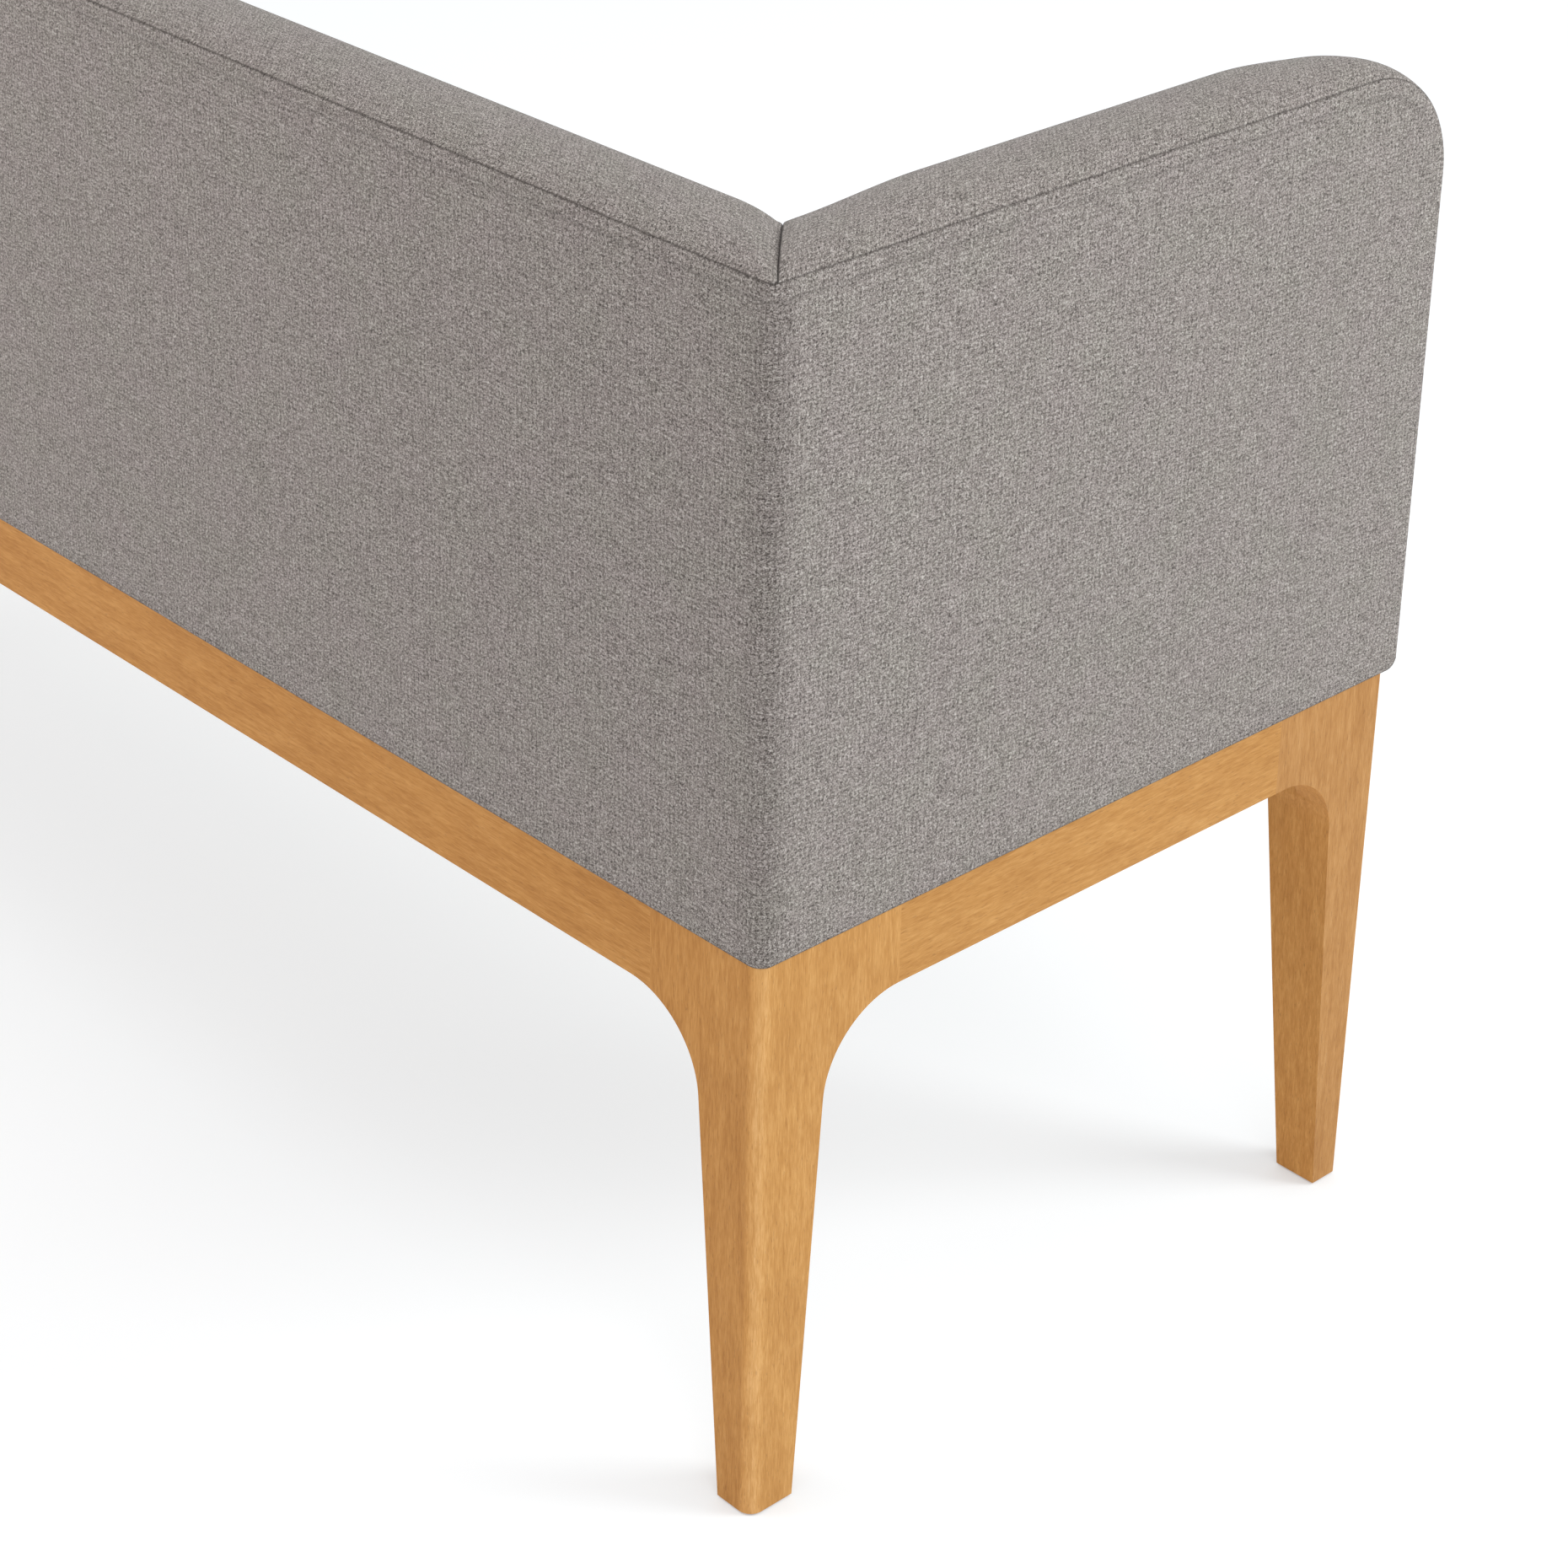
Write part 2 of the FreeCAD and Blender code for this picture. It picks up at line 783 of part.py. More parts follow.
def crown_points(inset):
    """The crown across a wall: distances in from the outer face, and heights."""
    side = crown_shoulder
    low = crown_shoulder_rise - inset
    return [
        (inset, 0),
        (side, low),
        (wall_thickness / 2, crown_rise - inset),
        (wall_thickness - side, low),
        (wall_thickness - inset, 0),
    ]


def crown_face(inset, depth, place):
    """The crown's section down to a depth. place turns a distance and height to a point."""
    points = [place(u, v) for u, v in crown_points(inset)]
    curve = Part.BSplineCurve()
    curve.interpolate(points)
    corners = [points[-1], points[0]]
    if depth > 0:
        corners[1:1] = [place(wall_thickness - inset, -depth), place(inset, -depth)]
    edges = [line(a, b) for a, b in zip(corners, corners[1:])]
    return Part.Face(Part.Wire([curve.toShape()] + edges))


def arm_crown_solid(inset, depth):
    """The crown along the top of the left arm, round its front corner and down its front."""
    turn_y = front_seam + arm_corner_radius
    turn_z = seam_height - arm_corner_radius

    def on_top(u, v):
        return vec(-half_length + u, turn_y, seam_height + v)

    def on_front(u, v):
        return vec(-half_length + u, front_seam - v, turn_z)

    top = crown_face(inset, depth, on_top)
    run = top.extrude(vec(0, half_depth - turn_y, 0))
    bend = top.revolve(vec(0, turn_y, turn_z), vec(1, 0, 0), quarter_turn)
    drop = crown_face(inset, depth, on_front).extrude(vec(0, 0, body_base - turn_z))
    solid = joined([run, bend, drop])
    return solid.common(side_prism(-half_length, -half_length + wall_thickness,
                                   crown_rise - inset, half_depth))


def back_crown_solid(inset, depth):
    def place(u, v):
        return vec(-half_length, half_depth - u, seam_height + v)

    return crown_face(inset, depth, place).extrude(vec(bench_length, 0, 0))


def mitre_tool(inset, side):
    """What the left mitre takes off the back's strip at side 1, or the arm's at side -1:
    all that lies beyond the mitre plane, and the valley that rounds down to that plane."""
    across = vec(1, 1, 0).normalize() * side
    start = vec(-half_length - overrun, half_depth + overrun, 0)
    top = seam_height + crown_rise - inset + mitre_crest_clearance
    floor = seam_height + mitre_floor - inset
    middle = floor + (top - floor) * mitre_middle_share

    def at(s, z):
        return start + across * s + vec(0, 0, z)

    foot = frame_top - overrun
    points = [at(mitre_shoulder, top), at(mitre_shoulder, top + overrun),
              at(-wall_thickness, top + overrun), at(-wall_thickness, foot), at(0, foot),
              at(0, floor)]
    edges = [line(a, b) for a, b in zip(points, points[1:])]
    edges.append(Part.Arc(points[-1], at(mitre_shoulder / 2, middle), points[0]).toShape())
    length = wall_thickness + overrun + overrun
    return Part.Face(Part.Wire(edges)).extrude(vec(length, -length, 0))


def border_solids(inset, depth):
    """The crowned left arm strip and back strip, rounded and mitred at the corners."""
    shape = plan_envelope(inset, rear_corner_radius - inset, body_base,
                          seam_height + crown_rise + overrun)
    arm = arm_crown_solid(inset, depth).common(shape).cut(mitre_tool(inset, -1))
    back = back_crown_solid(inset, depth).common(shape).cut(both_ends([mitre_tool(inset, 1)]))
    return arm, back


def make_borders():
    """The crowned strips along the top of the walls and down the arm fronts."""
    outer_arm, outer_back = border_solids(0, 0)
    inner_arm, inner_back = border_solids(cover_thickness, 0)
    pad_arm, pad_back = border_solids(cover_thickness, border_pad_edge)
    strip = outer_arm.cut(inner_arm)
    save("arm_border_left", [strip])
    save("arm_border_right", [mirrored(strip)])
    save("back_border", [outer_back.cut(inner_back)])
    save("arm_border_pad_left", [pad_arm])
    save("arm_border_pad_right", [mirrored(pad_arm)])
    save("back_border_pad", [pad_back])


def outer_cover():
    """One wrap of fabric round the outside of both arms and the back."""
    outer = plan_envelope(0, rear_corner_radius, body_base, seam_height)
    inner = plan_envelope(cover_thickness, rear_corner_radius - cover_thickness,
                          body_base, seam_height)
    profile = side_prism(-half_length, half_length, 0, half_depth)
    return outer.cut(inner).common(profile)


def swelled(place, depth, levels, rise):
    """The edges up one face of a pad, which swells by rise between its middle levels,
    and the face's two ends. levels are the bottom, both ends of the swell, and the top."""
    low, start, end, top = (place(depth, z) for z in levels)
    middle = place(depth + rise, (levels[1] + levels[2]) / 2)
    edges = [Part.Arc(start, middle, end).toShape()]
    if not low.isEqual(start, point_tolerance):
        edges.append(line(low, start))
    if not top.isEqual(end, point_tolerance):
        edges.append(line(end, top))
    return edges, low, top


def pad_solid(place, depths, levels, rise, skin, along):
    """A pad between two depths whose free face swells, or a skin that swells on both."""
    back, front = depths
    edges, low, top = swelled(place, front, levels, rise)
    if skin:
        inner, back_low, back_top = swelled(place, back, levels, rise)
        edges += inner
    else:
        back_low = place(back, levels[0])
        back_top = place(back, levels[-1])
        edges.append(line(back_low, back_top))
    edges += [line(low, back_low), line(top, back_top)]
    return Part.Face(Part.Wire(Part.__sortEdges__(edges))).extrude(along)


def back_pad(depths, levels, reach, skin):
    """The padding on the inside of the back, reaching this far each way from the middle."""
    def place(depth, z):
        return vec(-reach, half_depth - depth, z)

    return pad_solid(place, depths, levels, back_crown, skin, vec(2 * reach, 0, 0))


def arm_pad(depths, levels, rear, skin):
    """The padding on the inside of the left arm, back to this rear plane."""
    def place(depth, z):
        return vec(-half_length + depth, front_seam, z)

    return pad_solid(place, depths, levels, arm_crown, skin, vec(0, rear - front_seam, 0))


def make_wall_padding():
    """Foam and inner covers of the back and arms. The arms' give way to the back's."""
    back_foam = back_pad((webbing_inner, foam_inner),
                         (seat_rail_top, seat_seam, frame_top, frame_top),
                         half_length - arm_panel_inner, False)
    back_cover = back_pad((foam_inner, wall_thickness),
                          (tuck_height, seat_seam, frame_top, seam_height),
                          half_length - foam_inner, True)
    swell_start = seat_seam + seat_end_crown
    foam = arm_pad((arm_panel_inner, foam_inner),
                   (seat_rail_top, swell_start, frame_top, frame_top),
                   half_depth - foam_inner, False)
    front = front_seam + border_pad_edge
    toe = box(-half_length + arm_panel_inner, -half_length + foam_inner,
              front, seat_rail_front, body_base, seat_rail_top)
    foam = joined([foam.common(side_prism(-half_length, -seat_end + overrun,
                                          -border_pad_edge, half_depth)), toe])
    cover = arm_pad((foam_inner, wall_thickness),
                    (tuck_height, swell_start, frame_top, seam_height),
                    half_depth - wall_thickness, True)
    apron = box(-half_length + foam_inner, -seat_end, front_seam, seat_rail_front,
                body_base, tuck_height)
    cover = joined([cover, apron]).common(side_prism(-half_length, -seat_end + overrun,
                                                     0, half_depth))
    save("back_foam", [back_foam])
    save("inner_back_cover", [back_cover])
    for name, shape in (("arm_foam", foam), ("inner_arm_cover", cover)):
        left = shape.cut([back_foam, back_cover])
        save(name + "_left", [left])
        save(name + "_right", [mirrored(left)])


def seat_arc(x, z, rise):
    """The crown across the seat from its front seam to its rear edge."""
    middle = (seat_front + seat_rear) / 2
    return Part.Arc(vec(x, seat_front, z), vec(x, middle, z + rise),
                    vec(x, seat_rear, z)).toShape()


def seat_loft(top, base, crowned_base):
    """The seat between two levels, with its crown low at the arms and full between them."""
    wires = []
    for place_share, crown_share in zip(seat_place_shares, seat_crown_shares):
        x = seat_end * place_share
        rise = seat_end_crown + (seat_crown - seat_end_crown) * crown_share
        edges = [seat_arc(x, top, rise)]
        if crowned_base:
            edges.append(seat_arc(x, base, rise))
        else:
            edges.append(line(vec(x, seat_front, base), vec(x, seat_rear, base)))
        for y in (seat_front, seat_rear):
            edges.append(line(vec(x, y, base), vec(x, y, top)))
        wires.append(Part.Wire(Part.__sortEdges__(edges)))
    return Part.makeLoft(wires, True, False)


def front_pad(depths, skin):
    """The padding, or its cover, down the front of the seat."""
    def place(depth, z):
        return vec(-seat_end, seat_rail_front - depth, z)

    top = seat_seam - cover_thickness
    return pad_solid(place, depths, (body_base, body_base, top, top), seat_front_crown,
                     skin, vec(2 * seat_end, 0, 0))


def make_seat():
    """The crowned seat foam, its top cover and the border down its front."""
    front, rear = spring_span()
    reach = half_length - arm_panel_inner - seat_end_rail_width
    hollow = box(-reach, reach, front - clip_back, rear + clip_back,
                 seat_rail_top - overrun, deck)
    behind_border = box(-seat_end, seat_end, seat_front + cover_thickness, seat_rear,
                        body_base, seat_seam + seat_crown)
    slab = seat_loft(seat_seam - cover_thickness, seat_rail_top, False)
    lip = front_pad((0, seat_front_pad), False)
    foam = joined([slab.common(behind_border), lip]).cut(hollow)
    save("seat_foam", [foam])
    save("seat_cover", [seat_loft(seat_seam, seat_seam - cover_thickness, True)])
    save("seat_front_border", [front_pad((seat_front_pad, seat_front_pad + cover_thickness),
                                         True)])


def dust_cover():
    """Thin cloth under the body, pierced by the bolts."""
    margin = dust_cover_margin
    sheet = box(-half_length + margin, half_length - margin, front_seam + margin,
                half_depth - margin, wood_top, body_base)
    return sheet.cut(bolt_bores(bolt_diameter / 2 + bolt_hole_clearance,
                                wood_top - overrun, body_base + overrun))


def main():
    os.makedirs("parts", exist_ok=True)
    make_base()
    make_wall_frames()
    make_seat_frame()
    make_wall_padding()
    make_borders()
    make_seat()
    save("outer_cover", [outer_cover()])
    save("dust_cover", [dust_cover()])


main()
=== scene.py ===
import math

import bpy
import numpy as np
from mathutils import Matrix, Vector


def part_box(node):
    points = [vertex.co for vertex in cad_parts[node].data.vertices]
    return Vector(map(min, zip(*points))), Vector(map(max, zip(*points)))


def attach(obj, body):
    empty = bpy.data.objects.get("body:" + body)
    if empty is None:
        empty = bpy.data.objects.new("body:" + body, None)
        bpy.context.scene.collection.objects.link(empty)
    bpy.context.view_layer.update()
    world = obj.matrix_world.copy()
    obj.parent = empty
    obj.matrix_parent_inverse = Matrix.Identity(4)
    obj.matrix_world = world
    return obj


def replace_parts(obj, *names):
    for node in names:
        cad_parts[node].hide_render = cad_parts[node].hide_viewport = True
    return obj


# Upholstered banquette bench. Metres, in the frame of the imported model:
# X along the bench, the front faces -Y, Z up from the floor.
# The wood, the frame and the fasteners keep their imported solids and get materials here. The cloth
# covers are modelled here, each as one closed piece that also stands for the padding under it.

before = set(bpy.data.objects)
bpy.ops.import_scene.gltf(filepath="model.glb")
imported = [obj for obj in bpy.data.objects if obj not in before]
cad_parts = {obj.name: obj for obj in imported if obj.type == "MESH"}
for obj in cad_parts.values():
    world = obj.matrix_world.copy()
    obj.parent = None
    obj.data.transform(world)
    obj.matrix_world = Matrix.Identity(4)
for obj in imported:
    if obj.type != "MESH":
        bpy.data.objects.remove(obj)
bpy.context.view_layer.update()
mm = 0.001

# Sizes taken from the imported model
cover_low, cover_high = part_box("outer_cover")
half_length = cover_high.x
half_depth = cover_high.y
front_seam = cover_low.y
body_base = cover_low.z
seam = cover_high.z
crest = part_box("back_border")[1].z
wall = half_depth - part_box("back_border")[0].y
crown = crest - seam
seat_low, seat_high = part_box("seat_cover")
border_low, border_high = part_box("seat_front_border")
seat_seam = border_high.z + 1.5 * mm
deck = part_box("spring_insulator")[1].z
rail_low, rail_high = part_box("back_rail")
leg_corner_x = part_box("leg_rear_right")[1].x
tuck_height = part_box("inner_back_cover")[0].z
webbing_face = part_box("back_webbing")[0].y

# Sizes of the looks. A roll is the radius of a piece's turned edge.
arm_radius = 78 * mm         # the bend of the seam from an arm's top to its front
lower_radius = 9 * mm        # the foot of an arm's front edge
rear_radius = 10 * mm        # the cover's rear corners in plan
corner_arc = 0.785 * rear_radius  # from the middle of a rear corner to its end
cloth = 1.45 * mm            # the outer cover's thickness
top_roll = 1.5 * mm          # under the seams
low_roll = 1.1 * mm          # over the wood
strip_roll = 1.3 * mm
strip_edge = 0.9 * mm        # the strips stand back from the seams by this
mitre_roll = 1.6 * mm
mitre_shift = 3.4 * mm       # the mitre's valley lies this far in front of the diagonal
mitre_lean = 150 * mm        # the length over which a strip's rows lean to the mitre
front_drop = 9.4 * mm        # an arm's inner seam below its outer one, at the front bend
rear_drop = 5 * mm           # the same at the mitre
back_drop = 3.6 * mm         # the back's inner seam, lower at the mitre
back_crown_cut = 1.2 * mm    # the back strip's crown is this much lower than an arm's
crown_power = 2.37           # how full the strips' crown is across the wall
bend_flatness = 1.5 * mm     # the strip's crown is pressed flatter in the bend
pad_edge = 12 * mm           # the strips' undersides lie this far below the seam
pad_inset = 5 * mm           # and stand this far in from the wall's faces
mitre_gap = 3 * mm           # between the undersides of two strips at the mitre
thin = 0.3 * mm              # between two faces that must stay apart

# Offsets from the edge of a piece, in millimetres, where its grid is close enough for rolled
# edges and stitch lines
near_edge = [0, .15, .35, .6, .9, 1.3, 1.8, 2.4, 3.1, 4, 5.2, 7, 9, 11.5]
near_ridge = near_edge + [13, 14, 15, 16, 17, 18.2, 20, 23, 27]
near_seam = near_edge + [14, 18, 24]
near_front = near_edge + [14, 17, 21, 26, 32]
near_mitre = near_edge + [14, 17, 20.5, 25, 30]
near_corner = [0, 1.5, 3, 4.5, 6, 8, 10, 13, 17, 22]
near_tuck = [0, .6, 1.3, 2.2, 3.4, 5, 7, 9.5, 13, 18]
near_hem = [0, 1, 3, 6, 10, 16]


# Meshes

def spaced(start, length, end, coarse):
    """Places from 0 to length: offsets from each end, and even coarse steps between."""
    first = [a * mm for a in start]
    last = [length - a * mm for a in reversed(end)]
    count = max(1, round((last[0] - first[-1]) / coarse))
    middle = np.linspace(first[-1], last[0], count + 1)[1:-1]
    return np.array(first + list(middle) + last)


def roll(distance, radius):
    """How far a rolled edge has turned in, at a distance from the edge."""
    share = np.clip(1 - distance / radius, 0, 1)
    return radius * (1 - np.sqrt(np.maximum(1 - share * share, 0)))


def near(distance, width):
    """1 at no distance, and falling to nothing within a few widths."""
    return np.exp(-(distance / width) ** 2)


def ease(value):
    """From 0 to 1 with soft ends, as the value goes from 0 to 1."""
    share = np.clip(value, 0, 1)
    return share * share * (3 - 2 * share)


def waves(a, b, size, seed):
    """A slow, uneven swell from 0 to size over two lengths of cloth."""
    rng = np.random.default_rng(seed)
    total = np.zeros(np.broadcast(a, b).shape)
    for _ in range(7):
        turn = rng.uniform(0, math.tau)
        step = math.tau / rng.uniform(0.06, 0.24)
        total += np.sin((a * math.cos(turn) + b * math.sin(turn)) * step + rng.uniform(0, math.tau))
    return size * (0.5 + total / 14)


def make_object(name, points, faces, uvs, painted_shade):
    """A smooth mesh with a place in the cloth and a strength of painted shade for each point."""
    mesh = bpy.data.meshes.new(name)
    mesh.from_pydata(points.tolist(), [], faces)
    obj = bpy.data.objects.new(name, mesh)
    bpy.context.scene.collection.objects.link(obj)
    mesh.polygons.foreach_set("use_smooth", [True] * len(mesh.polygons))
    layer = mesh.uv_layers.new(name="cloth")
    loops = np.empty(len(mesh.loops), np.int32)
    mesh.loops.foreach_get("vertex_index", loops)
    layer.data.foreach_set("uv", uvs[loops].astype(np.float32).ravel())
    # The crease attribute holds the strength of painted shade: darkening in the seams, creases and
    # along the hems.
    attribute = mesh.attributes.new("crease", "FLOAT", "POINT")
    attribute.data.foreach_set("value", painted_shade.astype(np.float32))
    mesh.update()
    return obj


def closed_form(name, face, back, u, v, crease, flip=False):
    """A piece between two grids of points of the same shape, closed round their edges."""
    rows, cols = face.shape[:2]
    total = rows * cols
    points = np.concatenate([face.reshape(-1, 3), back.reshape(-1, 3)])
    uvs = np.stack([u.ravel(), v.ravel()], 1)
    uvs = np.concatenate([uvs, uvs])
    # crease is the strength of painted shade at each point.
    painted_shade = np.concatenate([crease.ravel(), crease.ravel()])
    index = np.arange(total).reshape(rows, cols)
    a, b, c, d = index[:-1, :-1], index[:-1, 1:], index[1:, 1:], index[1:, :-1]
    front = np.stack([a, b, c, d], -1).reshape(-1, 4)
    faces = [tuple(q) for q in front.tolist()]
    faces += [tuple(reversed(q)) for q in (front + total).tolist()]
    ring = (list(index[0, :]) + list(index[1:, -1]) + list(index[-1, -2::-1])
            + list(index[-2:0:-1, 0]))
    for i in range(len(ring)):
        p, q = int(ring[i]), int(ring[(i + 1) % len(ring)])
        faces.append((q, p, p + total, q + total))
    if flip:
        faces = [tuple(reversed(q)) for q in faces]
    return make_object(name, points, faces, uvs, painted_shade)


def length_along(points):
    """Distance along each row of a grid of points."""
    step = np.linalg.norm(np.diff(points, axis=1), axis=2)
    return np.concatenate([np.zeros((len(points), 1)), np.cumsum(step, 1)], 1)


def dress(obj, material):
    obj.data.materials.clear()
    obj.data.materials.append(material)
    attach(obj, "root")
    return obj


def word_of(side):
    return "right" if side > 0 else "left"


# Materials

def new_material(name):
    """A material with its node tree and its shader."""
    material = bpy.data.materials.new(name)
    material.use_nodes = True
    tree = material.node_tree
    shader = next(n for n in tree.nodes if n.type == "BSDF_PRINCIPLED")
    return material, tree, shader


def node(tree, kind, **values):
    made = tree.nodes.new(kind)
    for key, value in values.items():
        setattr(made, key, value)
    return made


def math_node(tree, operation, first, second=None, clamp=False):
    """The result of one operation on one or two numbers or sockets."""
    made = tree.nodes.new("ShaderNodeMath")
    made.operation = operation
    made.use_clamp = clamp
    for socket, value in zip(made.inputs, (first, second)):
        if value is None:
            continue
        if isinstance(value, (int, float)):
            socket.default_value = value
        else:
            tree.links.new(value, socket)
    return made.outputs[0]


def weighted(tree, terms):
    """The sum of several values, each times its weight."""
    total = None
    for value, weight in terms:
        part = math_node(tree, "MULTIPLY", value, weight)
        total = part if total is None else math_node(tree, "ADD", total, part)
    return total


def stretched(tree, source, scale, offset=(0, 0, 0)):
    """A place times a scale for each axis, moved by an offset."""
    made = tree.nodes.new("ShaderNodeMapping")
    made.inputs["Scale"].default_value = scale
    made.inputs["Location"].default_value = offset
    tree.links.new(source, made.inputs["Vector"])
    return made.outputs["Vector"]


def noise(tree, vector, scale, detail, roughness, distortion=0.0):
    made = tree.nodes.new("ShaderNodeTexNoise")
    made.inputs["Scale"].default_value = scale
    made.inputs["Detail"].default_value = detail
    made.inputs["Roughness"].default_value = roughness
    made.inputs["Distortion"].default_value = distortion
    tree.links.new(vector, made.inputs["Vector"])
    return made.outputs["Fac"]


def ramp(tree, factor, stops):
    """A colour for each value, between stops of (value, colour)."""
    made = tree.nodes.new("ShaderNodeValToRGB")
    elements = made.color_ramp.elements
    while len(elements) < len(stops):
        elements.new(0.5)
    for element, (place, colour) in zip(elements, stops):
        element.position = place
        element.color = (*colour, 1)
    tree.links.new(factor, made.inputs["Fac"])
    return made.outputs["Color"]


def mix(tree, factor, first, second, blend="MIX"):
    """The first colour, mixed with the second or multiplied by it."""
    made = tree.nodes.new("ShaderNodeMix")
    made.data_type = "RGBA"
    made.blend_type = blend
    made.clamp_factor = True
    for name, value in (("Factor_Float", factor), ("A_Color", first), ("B_Color", second)):
        socket = next(s for s in made.inputs if s.identifier == name)
        if isinstance(value, (int, float)):
            socket.default_value = value
        elif isinstance(value, tuple):
            socket.default_value = (*value, 1)
        else:
            tree.links.new(value, socket)
    return next(s for s in made.outputs if s.identifier == "Result_Color")


def bump(tree, shader, height, distance, strength):
    made = tree.nodes.new("ShaderNodeBump")
    made.inputs["Distance"].default_value = distance
    made.inputs["Strength"].default_value = strength
    tree.links.new(height, made.inputs["Height"])
    tree.links.new(made.outputs["Normal"], shader.inputs["Normal"])


def grey(value):
    return (value, value, value)


def floats(tree, vector, shade):
    """A random value for each small, nearly square cell of the cloth, and its height."""
    made = tree.nodes.new("ShaderNodeTexVoronoi")
    made.distance = "CHEBYCHEV"
    made.inputs["Scale"].default_value = 1.0
    made.inputs["Randomness"].default_value = 0.7
    tree.links.new(vector, made.inputs["Vector"])
    split = tree.nodes.new("ShaderNodeSeparateColor")
    tree.links.new(made.outputs["Color"], split.inputs["Color"])
    return split.outputs[shade], made.outputs["Distance"]


yarn_greys = [
    (0.10, (0.022, 0.018, 0.016)), (0.30, (0.118, 0.101, 0.092)), (0.50, (0.240, 0.211, 0.195)),
    (0.70, (0.395, 0.358, 0.332)), (0.92, (0.600, 0.560, 0.525)),
]
patch_tints = [(0.34, (1.008, 0.995, 1.008)), (0.5, (1.0, 1.0, 1.0)), (0.66, (0.990, 1.005, 0.988))]
# The colour of the painted shade in seams, creases and along the hems.
painted_shade_colour = (0.030, 0.024, 0.021)


def cover_fabric():
    """A plain melange weave: short yarn floats of several greys, under a millimetre apart, with
    regular threads just visible in them. Scales are cells per metre of cloth."""
    material, tree, shader = new_material("cover_fabric")
    place = node(tree, "ShaderNodeUVMap", uv_map="cloth").outputs["UV"]
    weft, weft_edge = floats(tree, stretched(tree, place, (1110, 2050, 1), (3, 8, 0)), 0)
    warp, warp_edge = floats(tree, stretched(tree, place, (1900, 1290, 1), (7, 1, 0)), 1)
    fuzz = noise(tree, stretched(tree, place, (1000, 1050, 1), (31, 17, 0)), 1.0, 2, 0.7)
    cloud = noise(tree, stretched(tree, place, (120, 140, 1), (5, 2, 0)), 1.0, 3, 0.65)
    yarn = weighted(tree, [(weft, 0.40), (warp, 0.40), (fuzz, 0.22), (cloud, 0.16)])
    yarn = math_node(tree, "SUBTRACT", yarn, 0.09)
    sway = noise(tree, stretched(tree, place, (70, 70, 1), (2, 9, 0)), 1.0, 1, 0.5)
    split = tree.nodes.new("ShaderNodeSeparateXYZ")
    tree.links.new(place, split.inputs["Vector"])
    for way, period in (("X", 3.5 * mm), ("Y", 3.35 * mm)):
        phase = math_node(tree, "MULTIPLY", split.outputs[way], math.tau / period)
        phase = math_node(tree, "ADD", phase, math_node(tree, "MULTIPLY", sway, 7.0))
        thread = math_node(tree, "SINE", phase)
        yarn = math_node(tree, "ADD", yarn, math_node(tree, "MULTIPLY", thread, 0.038))
    tone = ramp(tree, yarn, yarn_greys)
    mottle = noise(tree, stretched(tree, place, (24, 24, 1)), 1.0, 2, 0.55)
    tone = mix(tree, 1.0, tone, ramp(tree, mottle, patch_tints), "MULTIPLY")
    # Painted shade in the seams, creases and along the hems, from the crease attribute.
    shade_strength = node(tree, "ShaderNodeAttribute", attribute_name="crease").outputs["Fac"]
    tone = mix(tree, math_node(tree, "MULTIPLY", shade_strength, 0.8), tone, painted_shade_colour)
    tree.links.new(tone, shader.inputs["Base Color"])
    shader.inputs["Roughness"].default_value = 0.92
    shader.inputs["Specular IOR Level"].default_value = 0.12
    shader.inputs["Sheen Weight"].default_value = 0.12
    shader.inputs["Sheen Roughness"].default_value = 0.45
    knots = math_node(tree, "SUBTRACT", 1.5, math_node(tree, "ADD", weft_edge, warp_edge))
    bump(tree, shader, knots, 0.5 * mm, 0.28)
    return material


wood_tones = [(0.38, (0.410, 0.172, 0.036)), (0.5, (0.490, 0.221, 0.053)),
              (0.62, (0.574, 0.281, 0.080))]
figure_tints = [(0.3, (0.955, 0.94, 0.92)), (0.7, (1.04, 1.05, 1.06))]
pore_colour = (0.17, 0.065, 0.016)
# A painted highlight along the rounded edges of the wood.
painted_highlight_tint = (1.38, 1.52, 1.95)


